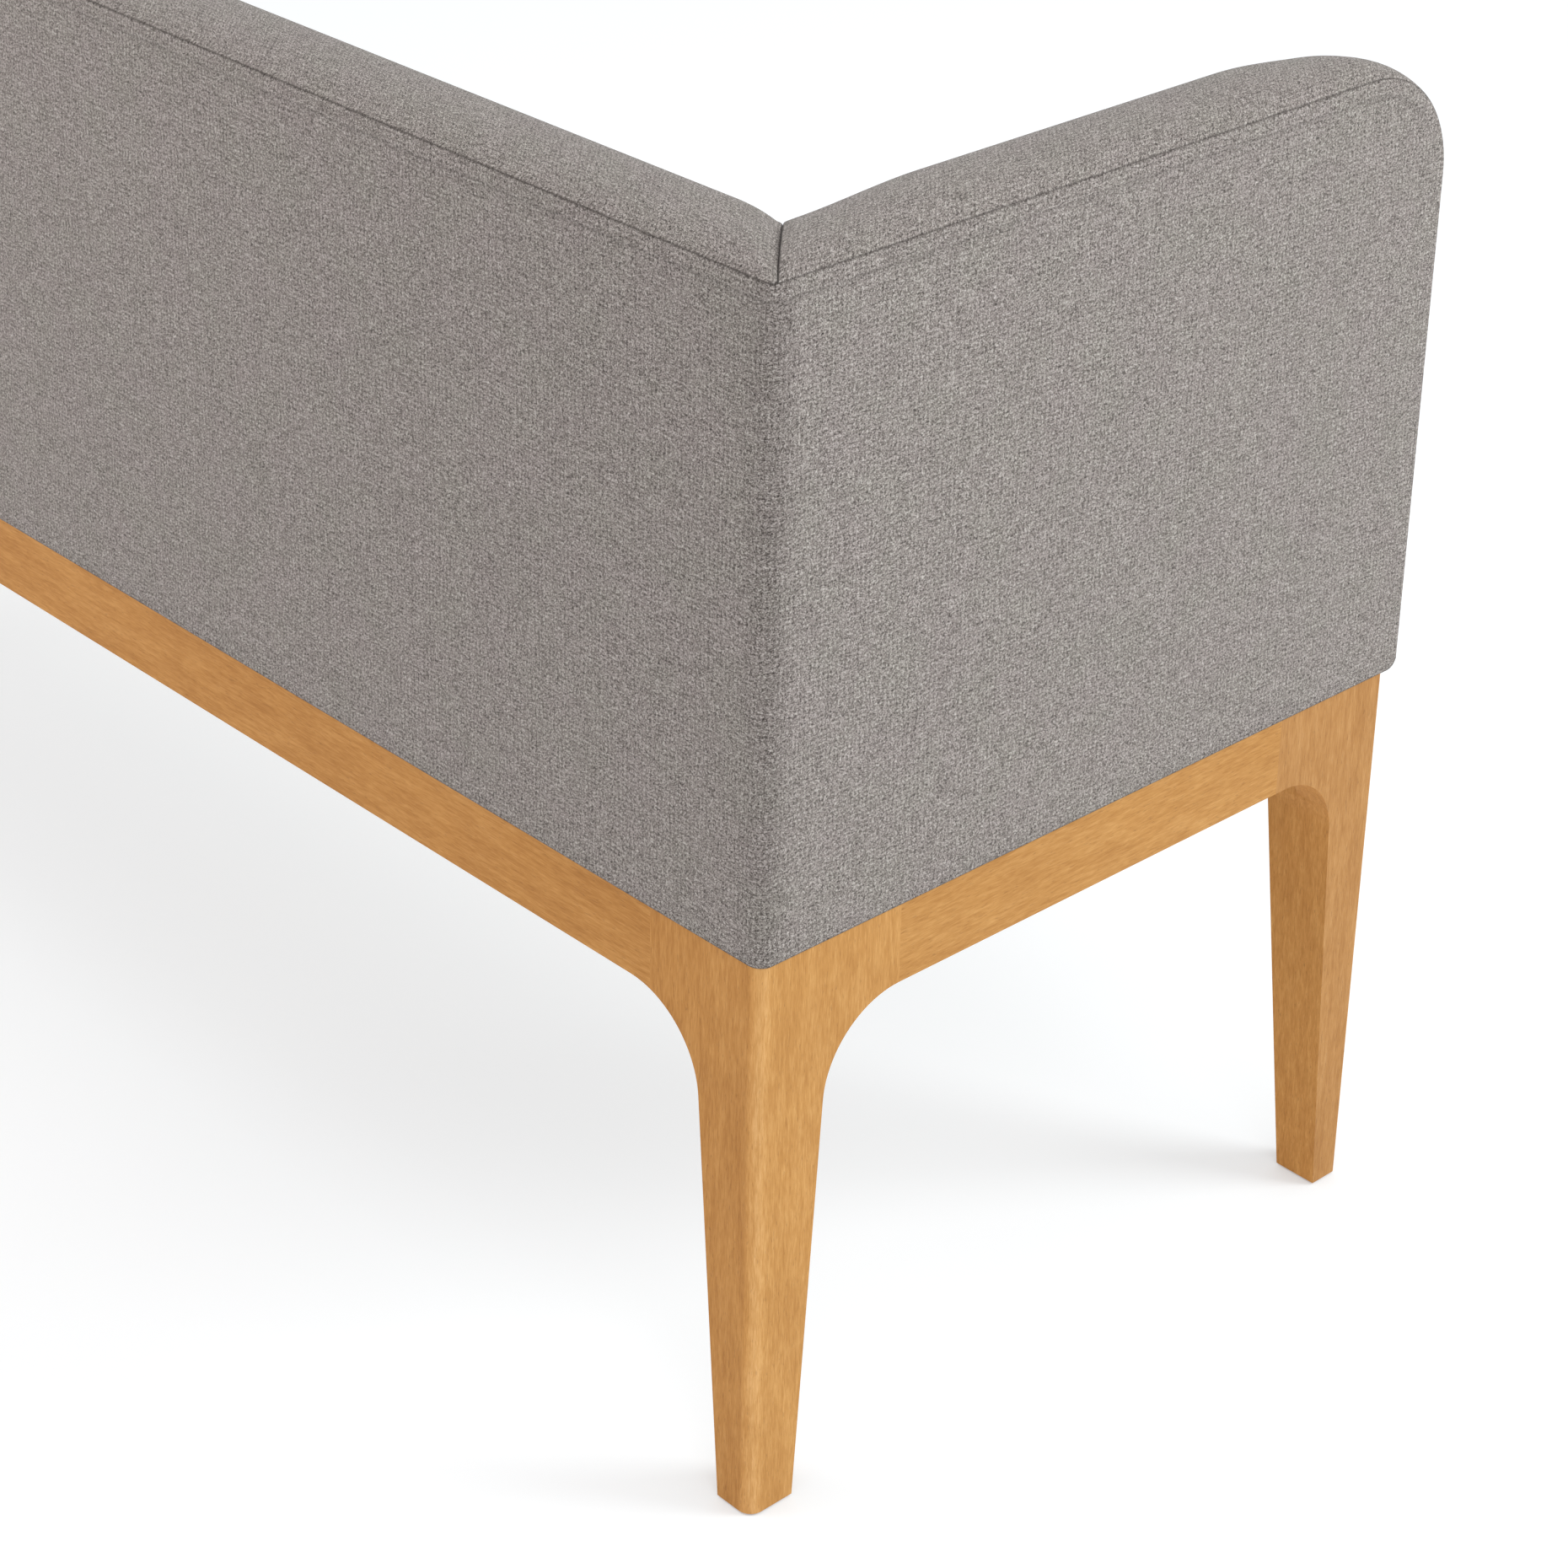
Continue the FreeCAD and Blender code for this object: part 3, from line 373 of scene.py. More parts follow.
def show_wood(name, along, offset, tone, painted_light_tint_x):
    """Clear-finished hardwood with its grain along one axis: bands, streaks, fibres, fine pores
    and figure. Its faces across X get painted light from a tint, and its rounded edges a painted
    highlight. The offset chooses the piece of wood, and the tone makes it lighter or darker."""
    material, tree, shader = new_material(name)
    place = node(tree, "ShaderNodeTexCoord").outputs["Object"]
    place = stretched(tree, place, (1, 1, 1), offset)

    def grain(scale, stretch):
        size = [scale] * 3
        size[along] = scale / stretch
        return tuple(size)

    band = noise(tree, stretched(tree, place, grain(60, 6)), 1.0, 3, 0.6, 0.5)
    streak = noise(tree, stretched(tree, place, grain(420, 9), (4, 4, 4)), 1.0, 3, 0.6, 0.3)
    fibre = noise(tree, stretched(tree, place, grain(1500, 12), (9, 2, 7)), 1.0, 2, 0.6)
    pore = noise(tree, stretched(tree, place, grain(1000, 6), (1, 8, 3)), 1.0, 1, 0.5)
    figure = noise(tree, stretched(tree, place, grain(26, 1.6), (2, 6, 1)), 1.0, 3, 0.6, 0.6)
    total = weighted(tree, [(band, 0.26), (streak, 0.36), (fibre, 0.38)])
    tones = [(value, tuple(c * tone for c in colour)) for value, colour in wood_tones]
    colour = ramp(tree, total, tones)
    colour = mix(tree, 1.0, colour, ramp(tree, figure, figure_tints), "MULTIPLY")
    pores = ramp(tree, pore, [(0.67, grey(0)), (0.74, grey(1))])
    pores = math_node(tree, "MULTIPLY", pores, 0.30)
    colour = mix(tree, pores, colour, pore_colour)
    way = tree.nodes.new("ShaderNodeSeparateXYZ")
    tree.links.new(node(tree, "ShaderNodeTexCoord").outputs["Normal"], way.inputs["Vector"])
    # Painted light on the faces across X: a painted sheen where the tint is above 1, painted shade
    # where it is below.
    facing_x = math_node(tree, "MULTIPLY", way.outputs["X"], way.outputs["X"])
    colour = mix(tree, facing_x, colour, painted_light_tint_x, "MULTIPLY")
    # Painted highlight along the rounded edges.
    rounded = math_node(tree, "MULTIPLY", way.outputs["X"], way.outputs["Y"])
    rounded = math_node(tree, "MULTIPLY", math_node(tree, "ABSOLUTE", rounded), 2.0, True)
    colour = mix(tree, rounded, colour, painted_highlight_tint, "MULTIPLY")
    tree.links.new(colour, shader.inputs["Base Color"])
    shader.inputs["Roughness"].default_value = 0.5
    shader.inputs["Specular IOR Level"].default_value = 0.16
    height = math_node(tree, "SUBTRACT", math_node(tree, "MULTIPLY", fibre, 0.5), pores)
    bump(tree, shader, height, 0.3 * mm, 0.3)
    return material


def plain_wood(name, along, colour, layers=0):
    """Planed frame wood, or plywood with its plies showing at the edges."""
    material, tree, shader = new_material(name)
    place = node(tree, "ShaderNodeTexCoord").outputs["Object"]
    size = [160.0] * 3
    size[along] = 9.0
    grain = noise(tree, stretched(tree, place, tuple(size)), 1.0, 4, 0.6, 0.3)
    low = tuple(c * 0.78 for c in colour)
    high = tuple(min(1.0, c * 1.12) for c in colour)
    tone = ramp(tree, grain, [(0.35, low), (0.65, high)])
    if layers:
        wave = tree.nodes.new("ShaderNodeTexWave")
        wave.bands_direction = "DIAGONAL"
        wave.inputs["Scale"].default_value = layers
        wave.inputs["Distortion"].default_value = 0.6
        tree.links.new(place, wave.inputs["Vector"])
        tone = mix(tree, 0.12, tone, wave.outputs["Color"], "MULTIPLY")
    tree.links.new(tone, shader.inputs["Base Color"])
    shader.inputs["Roughness"].default_value = 0.68
    bump(tree, shader, grain, 0.4 * mm, 0.4)
    return material


def steel():
    """Zinc-plated steel with a faint spangle."""
    material, tree, shader = new_material("zinc_steel")
    place = node(tree, "ShaderNodeTexCoord").outputs["Object"]
    spot = noise(tree, place, 700, 3, 0.6)
    tone = ramp(tree, spot, [(0.3, (0.50, 0.50, 0.52)), (0.7, (0.72, 0.72, 0.73))])
    tree.links.new(tone, shader.inputs["Base Color"])
    shader.inputs["Metallic"].default_value = 1.0
    rough = ramp(tree, spot, [(0.3, grey(0.30)), (0.7, grey(0.45))])
    tree.links.new(rough, shader.inputs["Roughness"])
    return material


def moulded(name, colour, roughness):
    """Moulded nylon with a fine grain."""
    material, tree, shader = new_material(name)
    place = node(tree, "ShaderNodeTexCoord").outputs["Object"]
    spot = noise(tree, place, 1600, 2, 0.6)
    low = tuple(c * 0.85 for c in colour)
    tone = ramp(tree, spot, [(0.3, low), (0.7, colour)])
    tree.links.new(tone, shader.inputs["Base Color"])
    shader.inputs["Roughness"].default_value = roughness
    bump(tree, shader, spot, 0.2 * mm, 0.4)
    return material


def dust_cloth():
    """Thin black spunbond cloth: random fibres pressed with a fine dotted grid."""
    material, tree, shader = new_material("dust_cloth")
    place = node(tree, "ShaderNodeUVMap", uv_map="cloth").outputs["UV"]
    fibre = noise(tree, stretched(tree, place, (900, 900, 1)), 1.0, 4, 0.7, 1.5)
    dots = tree.nodes.new("ShaderNodeTexVoronoi")
    dots.inputs["Scale"].default_value = 480
    dots.inputs["Randomness"].default_value = 0.15
    tree.links.new(place, dots.inputs["Vector"])
    tone = ramp(tree, fibre, [(0.35, (0.010, 0.010, 0.011)), (0.65, (0.040, 0.040, 0.043))])
    tree.links.new(tone, shader.inputs["Base Color"])
    shader.inputs["Roughness"].default_value = 0.85
    height = math_node(tree, "ADD", fibre, dots.outputs["Distance"])
    bump(tree, shader, height, 0.6 * mm, 0.5)
    return material


X, Y, Z = 0, 1, 2
fabric = cover_fabric()
# The tints on the faces across X are painted light: a painted sheen on the rear legs and side
# rails; on the front legs the high tone paints light on the rear faces and the tint takes the outer
# faces back down.
wood_leg_rear = show_wood("leg_wood_rear", Z, (0.31, 0.07, 0.0), 0.99, (1.06, 1.15, 1.32))
wood_leg_front = show_wood("leg_wood_front", Z, (0.05, 0.43, 0.2), 1.12, (0.80, 0.85, 1.05))
wood_back = show_wood("rail_wood_back", X, (0.2, 0.11, 0.35), 0.98, (1.0, 1.0, 1.0))
wood_side = show_wood("rail_wood_side", Y, (0.57, 0.3, 0.14), 1.0, (0.99, 1.06, 1.19))
frame_x = plain_wood("frame_wood_x", X, (0.62, 0.47, 0.28))
frame_y = plain_wood("frame_wood_y", Y, (0.60, 0.45, 0.27))
frame_z = plain_wood("frame_wood_z", Z, (0.61, 0.46, 0.28))
ply_colour = (0.66, 0.50, 0.31)
ply_x = plain_wood("plywood_x", X, ply_colour, layers=90)
ply_y = plain_wood("plywood_y", Y, ply_colour, layers=90)
metal = steel()
nylon = moulded("nylon", (0.035, 0.032, 0.030), 0.55)
cloth_black = dust_cloth()

node_materials = {
    "leg_rear_left": wood_leg_rear, "leg_rear_right": wood_leg_rear,
    "leg_front_left": wood_leg_front, "leg_front_right": wood_leg_front,
    "back_rail": wood_back, "front_rail": wood_back,
    "side_rail_left": wood_side, "side_rail_right": wood_side,
    "centre_stretcher": frame_y, "corner_blocks": frame_x, "rail_dowels": frame_x,
    "back_bottom_rail": frame_x, "back_top_rail": frame_x, "back_posts": frame_z,
    "arm_top_rail_left": frame_y, "arm_top_rail_right": frame_y,
    "arm_front_post_left": frame_z, "arm_front_post_right": frame_z,
    "arm_rear_post_left": frame_z, "arm_rear_post_right": frame_z,
    "arm_bottom_rail_left": frame_y, "arm_bottom_rail_right": frame_y,
    "seat_front_rail": frame_x, "seat_rear_rail": frame_x,
    "seat_end_rail_left": frame_y, "seat_end_rail_right": frame_y,
    "back_outer_panel": ply_x,
    "arm_outer_panel_left": ply_y, "arm_outer_panel_right": ply_y,
    "arm_inner_panel_left": ply_y, "arm_inner_panel_right": ply_y,
    "corner_block_screws": metal, "body_bolts": metal, "bolt_washers": metal,
    "threaded_inserts": metal, "frame_screws": metal, "seat_springs": metal,
    "spring_clips": metal, "foot_glides": nylon,
}
for name, material in node_materials.items():
    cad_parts[name].data.materials.clear()
    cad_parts[name].data.materials.append(material)

# The arrises of the open wood are eased by a sander's touch
softened = ["leg_rear_left", "leg_rear_right", "leg_front_left", "leg_front_right",
            "back_rail", "front_rail", "side_rail_left", "side_rail_right",
            "centre_stretcher", "corner_blocks"]
for name in softened:
    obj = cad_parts[name]
    weld = obj.modifiers.new("weld", "WELD")
    weld.merge_threshold = 0.01 * mm
    edge = obj.modifiers.new("arris", "BEVEL")
    edge.width = 0.8 * mm
    edge.segments = 2
    edge.limit_method = "ANGLE"
    edge.angle_limit = math.radians(35)
    edge.harden_normals = False
    even = obj.modifiers.new("even_normals", "WEIGHTED_NORMAL")
    even.keep_sharp = False


# The outer cover: one wrap round both arms and the back

def arm_top(edge):
    """Height of the seam at a distance behind the arm's front edge."""
    reach = np.clip(arm_radius - edge, 0, None)
    return seam - arm_radius + np.sqrt(np.maximum(arm_radius ** 2 - reach ** 2, 0))


def bend_drop(path):
    """How much lower the inner seam of an arm is than its outer one, at a distance along the
    seam from the start of the bend at the front."""
    start, full = -65 * mm, 35 * mm
    rise = ease((path - start) / (full - start))
    return front_drop * rise * (1 - ease((path - full) / (arm_radius * math.pi / 2 - full)))


def inner_drop(edge, away):
    """The same along the arm's top, with the fall towards the mitre."""
    start, length = 105 * mm, 100 * mm
    return bend_drop(arm_radius - edge) + rear_drop * ease((start - away) / length)


def inner_top(edge):
    """Height of an arm's inner seam at a distance behind the arm's front edge."""
    turn = np.linspace(0, math.pi / 2, 91)
    radius = arm_radius - bend_drop(turn * arm_radius)
    bend = np.interp(edge, (arm_radius - radius * np.sin(turn))[::-1],
                     (seam - arm_radius + radius * np.cos(turn))[::-1])
    rear = half_depth - wall - front_seam - edge
    straight = seam - inner_drop(edge, np.maximum(rear, 0))
    return np.where(edge < arm_radius, bend, straight)


def arm_foot(edge):
    """Height of the cover's foot at a distance behind the arm's front edge."""
    reach = np.clip(lower_radius - edge, 0, None)
    return body_base + lower_radius - np.sqrt(np.maximum(lower_radius ** 2 - reach ** 2, 0))


def seam_distance(edge, z):
    """Distance in the face from the seam along the top and front of an arm or the back."""
    centre = seam - arm_radius
    round_part = (edge < arm_radius) & (z > centre)
    inside = arm_radius - np.hypot(np.minimum(edge - arm_radius, 0), np.maximum(z - centre, 0))
    return np.where(round_part, inside, np.minimum(edge, seam - z))


def foot_distance(edge, z):
    """Distance in the face from the foot of an arm or the back."""
    centre = body_base + lower_radius
    round_part = (edge < lower_radius) & (z < centre)
    inside = lower_radius - np.hypot(np.minimum(edge - lower_radius, 0), np.minimum(z - centre, 0))
    return np.where(round_part, inside, z - body_base)


no_edge = 9  # metres from an arm's front edge, for the back, which has none


def plan_line():
    """The cover's line in plan from the left arm's front to the right arm's: x, y, the way
    in, the distance from the arm's front edge, and the distance from the nearer corner."""
    straight = half_depth - rear_radius - front_seam
    rows = []
    for a in spaced(near_front, straight, near_corner, 7 * mm):
        rows.append((-half_length, front_seam + a, 1, 0, a, straight - a + corner_arc))
    for t in np.linspace(0, math.pi / 2, 12)[1:-1]:
        x = -half_length + rear_radius - rear_radius * math.cos(t)
        y = half_depth - rear_radius + rear_radius * math.sin(t)
        from_middle = abs(t - math.pi / 4) * rear_radius
        rows.append((x, y, math.cos(t), -math.sin(t), no_edge, from_middle))
    for a in spaced(near_corner, half_length - rear_radius, [0], 7 * mm):
        rows.append((-half_length + rear_radius + a, half_depth, 0, -1, no_edge, a + corner_arc))
    rows += [(-x, y, -nx, ny, edge, corner) for x, y, nx, ny, edge, corner in rows[-2::-1]]
    return np.array(rows).T


def soften_corners(obj, along, reach):
    """Turns the cover's normals gradually within a reach of each rear corner, as the padding
    under the cloth does. The places along the cover are those of its outer face."""
    mesh = obj.data
    normals = np.empty(len(mesh.vertices) * 3, np.float32)
    mesh.vertex_normals.foreach_get("vector", normals)
    normals = normals.reshape(-1, 3).copy()
    face = normals[:along.size]
    bend = half_depth - rear_radius - front_seam + rear_radius * math.pi / 4
    for place, side in ((bend, -1), (float(along.max()) - bend, 1)):
        past = (along.ravel() - place) * -side
        turn = ease((past / reach + 1) / 2) * math.pi / 2
        level = np.hypot(face[:, 0], face[:, 1])
        chosen = np.abs(past) < reach
        face[chosen, 0] = (side * np.cos(turn) * level)[chosen]
        face[chosen, 1] = (np.sin(turn) * level)[chosen]
    mesh.normals_split_custom_set_from_vertices(normals.tolist())


def outer_cover():
    """The cover, with the ridge of the seam allowance under its top, and at each rear corner a
    dimple under the seam and a few small wrinkles below it."""
    x, y, nx, ny, edge, corner = plan_line()
    along = np.concatenate([[0], np.cumsum(np.hypot(np.diff(x), np.diff(y)))])
    height = seam - body_base
    rows = spaced(near_edge, height, near_ridge, 8 * mm) / height
    on_arm = edge < no_edge
    top = np.where(on_arm, arm_top(edge), seam)
    foot = np.where(on_arm, arm_foot(edge), body_base)
    z = foot + (top - foot) * rows[:, None]
    edge, corner, along = (np.broadcast_to(a, z.shape) for a in (edge, corner, along))
    to_seam = seam_distance(edge, z)
    to_foot = foot_distance(edge, z)
    below = seam - z
    inward = np.maximum(roll(to_seam, top_roll), roll(to_foot, low_roll))
    allowance = ease((z - seam + 55 * mm) / (30 * mm))
    ridge, ridge_place, ridge_shadow = 0.6 * mm, 8.6 * mm, 11 * mm
    inward = inward - ridge * near(to_seam - ridge_place, 2.0 * mm) * allowance
    dimple, wrinkle, wrinkle_length = 1.6 * mm, 0.4 * mm, 3.4 * mm
    inward = inward + dimple * near(corner, 3.5 * mm) * near(below, 3.0 * mm)
    crease = np.sin(below / wrinkle_length * math.tau) * near(below - 8 * mm, 4 * mm)
    inward = inward + wrinkle * crease * near(corner - 2 * mm, 9 * mm)
    swell = waves(along, z, 0.55 * mm, 3)
    inward = inward - swell * ease(np.minimum(to_seam, to_foot) / (30 * mm))
    under = np.maximum(cloth, inward + thin / 2)
    face = np.stack([x + nx * inward, y + ny * inward, z], -1)
    back = np.stack([x + nx * under, y + ny * under, z], -1)
    # Painted shade: dark lines in the top seam and along the hem over the wood, a painted shadow
    # under the ridge, darker cloth towards the hem, and darkening in each rear corner's dimple.
    seam_shade = np.where(on_arm, 0.58, 0.9)
    painted_shade = np.maximum(seam_shade * near(to_seam, 0.5 * mm), 0.85 * near(to_foot, 1.3 * mm))
    painted_shade = np.maximum(painted_shade, 0.27 * near(to_seam - ridge_shadow, 1.6 * mm) * allowance)
    painted_shade = np.maximum(painted_shade, 0.16 * near(to_foot, 6 * mm))
    painted_shade = np.maximum(painted_shade, 0.8 * near(corner + 1.5 * mm, 3 * mm) * near(below, 2 * mm))
    obj = closed_form("outer_cover_cloth", face, back, along, z, painted_shade, flip=True)
    soften_corners(obj, along, 26 * mm)
    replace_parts(dress(obj, fabric), "outer_cover")


# The crowned strips along the top of the walls and down the arm fronts

def crown_height(across):
    """Height of a strip over the seams at a distance across the wall."""
    share = np.abs(2 * across / wall - 1)
    return crown * (1 - share ** crown_power)


def strip_places():
    """Places across a strip, from the outer seam to the inner one."""
    half = spaced(near_edge + [14, 17.5, 21.5, 26], wall / 2 - strip_edge, [0], 5.5 * mm)
    left = strip_edge + half
    return np.concatenate([left, wall - left[-2::-1]])


def mitred(across, away, fall, reach, cut=0.0):
    """Height of a strip at a distance from the mitre plane: it rolls down into the valley."""
    share = 1 - fall * (1 - ease(away / reach)) ** 1.6
    height = crown_height(across) * share * (1 - cut / crown)
    edge = np.minimum(across, wall - across) - strip_edge
    height = height - roll(edge, strip_roll)
    return height - roll(away, mitre_roll)


def round_corner(points):
    """Draws the strips' points at the rear corners in to the cover's rounded corner."""
    centre = np.array([-half_length + rear_radius, half_depth - rear_radius])
    off = points[..., :2] - centre
    corner = (off[..., 0] < 0) & (off[..., 1] > 0)
    far = np.hypot(off[..., 0], off[..., 1])
    limit = rear_radius - strip_edge
    scale = np.where(corner & (far > limit), limit / np.maximum(far, 1e-9), 1)
    result = points.copy()
    result[..., :2] = centre + off * scale[..., None]
    return result


def back_fall(to_end):
    """How much lower the back's inner seam is towards the mitre."""
    return back_drop * np.clip(1 - to_end / (32 * mm), 0, 1) ** 2


def arm_strip(side):
    """The strip of one arm, from the mitre to the arm's front and down to its foot."""
    across = strip_places()
    word = word_of(side)
    run = spaced(near_mitre, half_depth - front_seam - arm_radius, [0], 7 * mm)

    # Along the top
    lean = np.clip(1 - run / mitre_lean, 0, 1)
    y = half_depth - run - (across[:, None] + mitre_shift) * lean
    away = (half_depth - y - across[:, None] - mitre_shift) / math.sqrt(2)
    height = mitred(across[:, None], away, fall=0.22, reach=9 * mm)
    inner = ease(across[:, None] / wall) ** 1.2
    z = seam + height - inner * inner_drop(y - front_seam, np.maximum(away * math.sqrt(2), 0))
    flattest, flat_reach = 0.6, 0.45
    ahead = (arm_radius - (y - front_seam)) / arm_radius
    z = z - bend_flatness * near(ahead - flattest, flat_reach) * height / crown

    # Round the bend
    turn = np.linspace(0, math.pi / 2, 31)[1:-1]
    centre_y = front_seam + arm_radius
    centre_z = seam - arm_radius
    edge = np.minimum(across, wall - across)[:, None] - strip_edge
    plain = crown_height(across)[:, None] - roll(edge, strip_roll)
    flatter = bend_flatness * near(turn - flattest, flat_reach) * plain / crown
    radius = arm_radius + plain - flatter - inner * bend_drop(turn * arm_radius)
    turn_y = centre_y - radius * np.sin(turn)
    turn_z = centre_z + radius * np.cos(turn)

    # Down the front
    drop = spaced([0], centre_z - body_base, near_edge, 8 * mm)
    fall_z = np.broadcast_to(centre_z - drop, (len(across), len(drop)))
    to_foot = drop[-1] - drop
    lift = roll(to_foot, lower_radius + crown * 0.5)
    fall_y = front_seam - plain + lift

    path_y = np.concatenate([y, turn_y, fall_y], 1)
    path_z = np.concatenate([z, turn_z, fall_z], 1)
    x = np.broadcast_to(-half_length + across[:, None], path_y.shape)
    face = round_corner(np.stack([x, path_y, path_z], -1))

    # The underside of its padding
    inset = np.clip(across, pad_inset, wall - pad_inset)
    under = arm_radius - pad_edge
    back_y = np.concatenate([
        np.minimum(y, half_depth - inset[:, None] - mitre_gap - mitre_shift),
        np.broadcast_to(centre_y - under * np.sin(turn), turn_y.shape),
        np.full(fall_z.shape, front_seam + pad_edge)], 1)
    back_z = np.concatenate([
        np.full(y.shape, seam - pad_edge),
        np.broadcast_to(centre_z + under * np.cos(turn), turn_z.shape),
        np.maximum(fall_z, body_base + 2 * mm)], 1)
    back_x = np.broadcast_to(-half_length + inset[:, None], back_y.shape)
    back = np.stack([back_x, back_y, back_z], -1)

    # Painted shade in the seams along its edges, in the mitre, and at its foot over the wood.
    painted_shade = np.broadcast_to(0.9 * near(edge, 0.55 * mm), path_y.shape).copy()
    painted_shade[:, :len(run)] = np.maximum(painted_shade[:, :len(run)], 0.9 * near(away, 0.8 * mm))
    painted_shade = np.maximum(painted_shade, near(np.maximum(path_z - body_base, 0), 0.7 * mm))
    swell = waves(path_y, path_z + x, 0.4 * mm, 11)
    face[..., 2] += swell * ease(edge / (14 * mm)) * (path_z > centre_z)
    along = length_along(face)
    if side > 0:
        face, back = face * [-1, 1, 1], back * [-1, 1, 1]
    obj = closed_form("arm_strip_" + word, face, back, along,
                      np.broadcast_to(across[:, None], along.shape), painted_shade, flip=side > 0)
    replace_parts(dress(obj, fabric), "arm_border_" + word, "arm_border_pad_" + word)


def back_strip():
    """The strip of the back between the two mitres: the left half, and the same mirrored."""
    across = strip_places()
    run = spaced(near_mitre, half_length, [0], 7 * mm)
    lean = np.clip(1 - run / mitre_lean, 0, 1)
    start = across[:, None] - mitre_shift
    x = -half_length + run + start * lean
    away = (x + half_length - start) / math.sqrt(2)
    height = mitred(across[:, None], away, fall=0.45, reach=16 * mm, cut=back_crown_cut)
    to_end = np.maximum(x + half_length - wall, 0)
    height = height - ease(across[:, None] / wall) ** 1.5 * back_fall(to_end)

    # Both halves
    x = np.concatenate([x, -x[:, -2::-1]], 1)
    height = np.concatenate([height, height[:, -2::-1]], 1)
    away = np.concatenate([away, away[:, -2::-1]], 1)
    y = np.broadcast_to(half_depth - across[:, None], x.shape)
    edge = np.minimum(across, wall - across)[:, None] - strip_edge
    height = height + waves(x, y, 0.4 * mm, 12) * ease(edge / (14 * mm)) * ease(away / (20 * mm))
    face = np.stack([x, y, seam + height], -1)
    half = face.shape[1] // 2 + 1
    face[:, :half] = round_corner(face[:, :half])
    face[:, half:] = face[:, half - 2::-1] * [-1, 1, 1]
    inset = np.clip(across, pad_inset, wall - pad_inset)
    limit = half_length - inset[:, None] - mitre_gap
    back_x = np.clip(x, -limit, limit)
    back = np.stack([back_x, np.broadcast_to(half_depth - inset[:, None], x.shape),
                     np.full(x.shape, seam - pad_edge)], -1)
    # Painted shade in the seams along its edges and in the mitres.
    painted_shade = np.maximum(0.9 * near(edge, 0.55 * mm), 0.9 * near(away, 0.7 * mm))
    along = length_along(face)
    cloth_piece = 0.5  # takes the weave from another place than the arms' strips
    obj = closed_form("back_strip", face, back, along,
                      np.broadcast_to(across[:, None] + cloth_piece, along.shape), painted_shade,
                      flip=True)
    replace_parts(dress(obj, fabric), "back_border", "back_border_pad")


# The inner faces of the walls. They start below the seat, and the back's runs on behind the ends
# of the arms' faces, so that no frame shows in the corners.

corner_dip, dip_width, dip_depth = 2.5 * mm, 8 * mm, 12 * mm


def bulge(z, start, end, size):
    """The padding's crown between two heights."""
    share = np.clip((z - start) / (end - start), 0, 1)
    return size * 4 * share * (1 - share)


def inner_arm(side):
    """The padded inner face of one arm, from its front edge to the back's face."""
    word = word_of(side)
    apron_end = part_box("seat_front_rail")[0].y
    length = half_depth - wall - thin - front_seam
    edge = spaced(near_front, length, [0, 1, 2.5, 4.5, 7, 11], 8 * mm)
    y = front_seam + edge
    foot = np.where(y < apron_end, np.maximum(arm_foot(edge), body_base), tuck_height)
    top = inner_top(edge)
    rows = spaced([0, 2, 5], seam - tuck_height, near_seam, 9 * mm)
    z = foot + (top - foot) * (rows / rows[-1])[:, None]
    wide = np.broadcast_to(edge, z.shape)
    to_end = length - wide
    to_seam = seam_distance(wide, z + arm_top(edge) - top)
    face_in = wall - roll(to_seam, top_roll) - roll(to_end, 4 * mm)
    z = z - corner_dip * near(to_end, dip_width) * near(to_seam, dip_depth)
    pad = bulge(z, seat_seam + 5 * mm, seam - 12 * mm, 3.2 * mm)
    face_in = face_in + pad * ease(to_seam / (25 * mm)) * ease(to_end / (20 * mm))
    face_in = face_in + waves(wide, z, 0.5 * mm, 21) * ease(to_seam / (30 * mm)) * (z > seat_seam)
    panel_face = half_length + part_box("arm_inner_panel_left")[1].x
    back_in = np.minimum(panel_face + 0.2 * mm, face_in - thin)
    face = np.stack([-half_length + face_in, np.broadcast_to(y, z.shape), z], -1)
    back = np.stack([-half_length + back_in, face[..., 1], z], -1)
    # Painted shade in the top seam and in the corner against the back.
    painted_shade = np.maximum(near(to_seam, 0.9 * mm), 0.8 * near(to_end, 1.5 * mm))
    if side > 0:
        face, back = face * [-1, 1, 1], back * [-1, 1, 1]
    obj = closed_form("inner_arm_" + word, face, back, wide, z, painted_shade, flip=side > 0)
    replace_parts(dress(obj, fabric), "inner_arm_cover_" + word, "arm_foam_" + word)


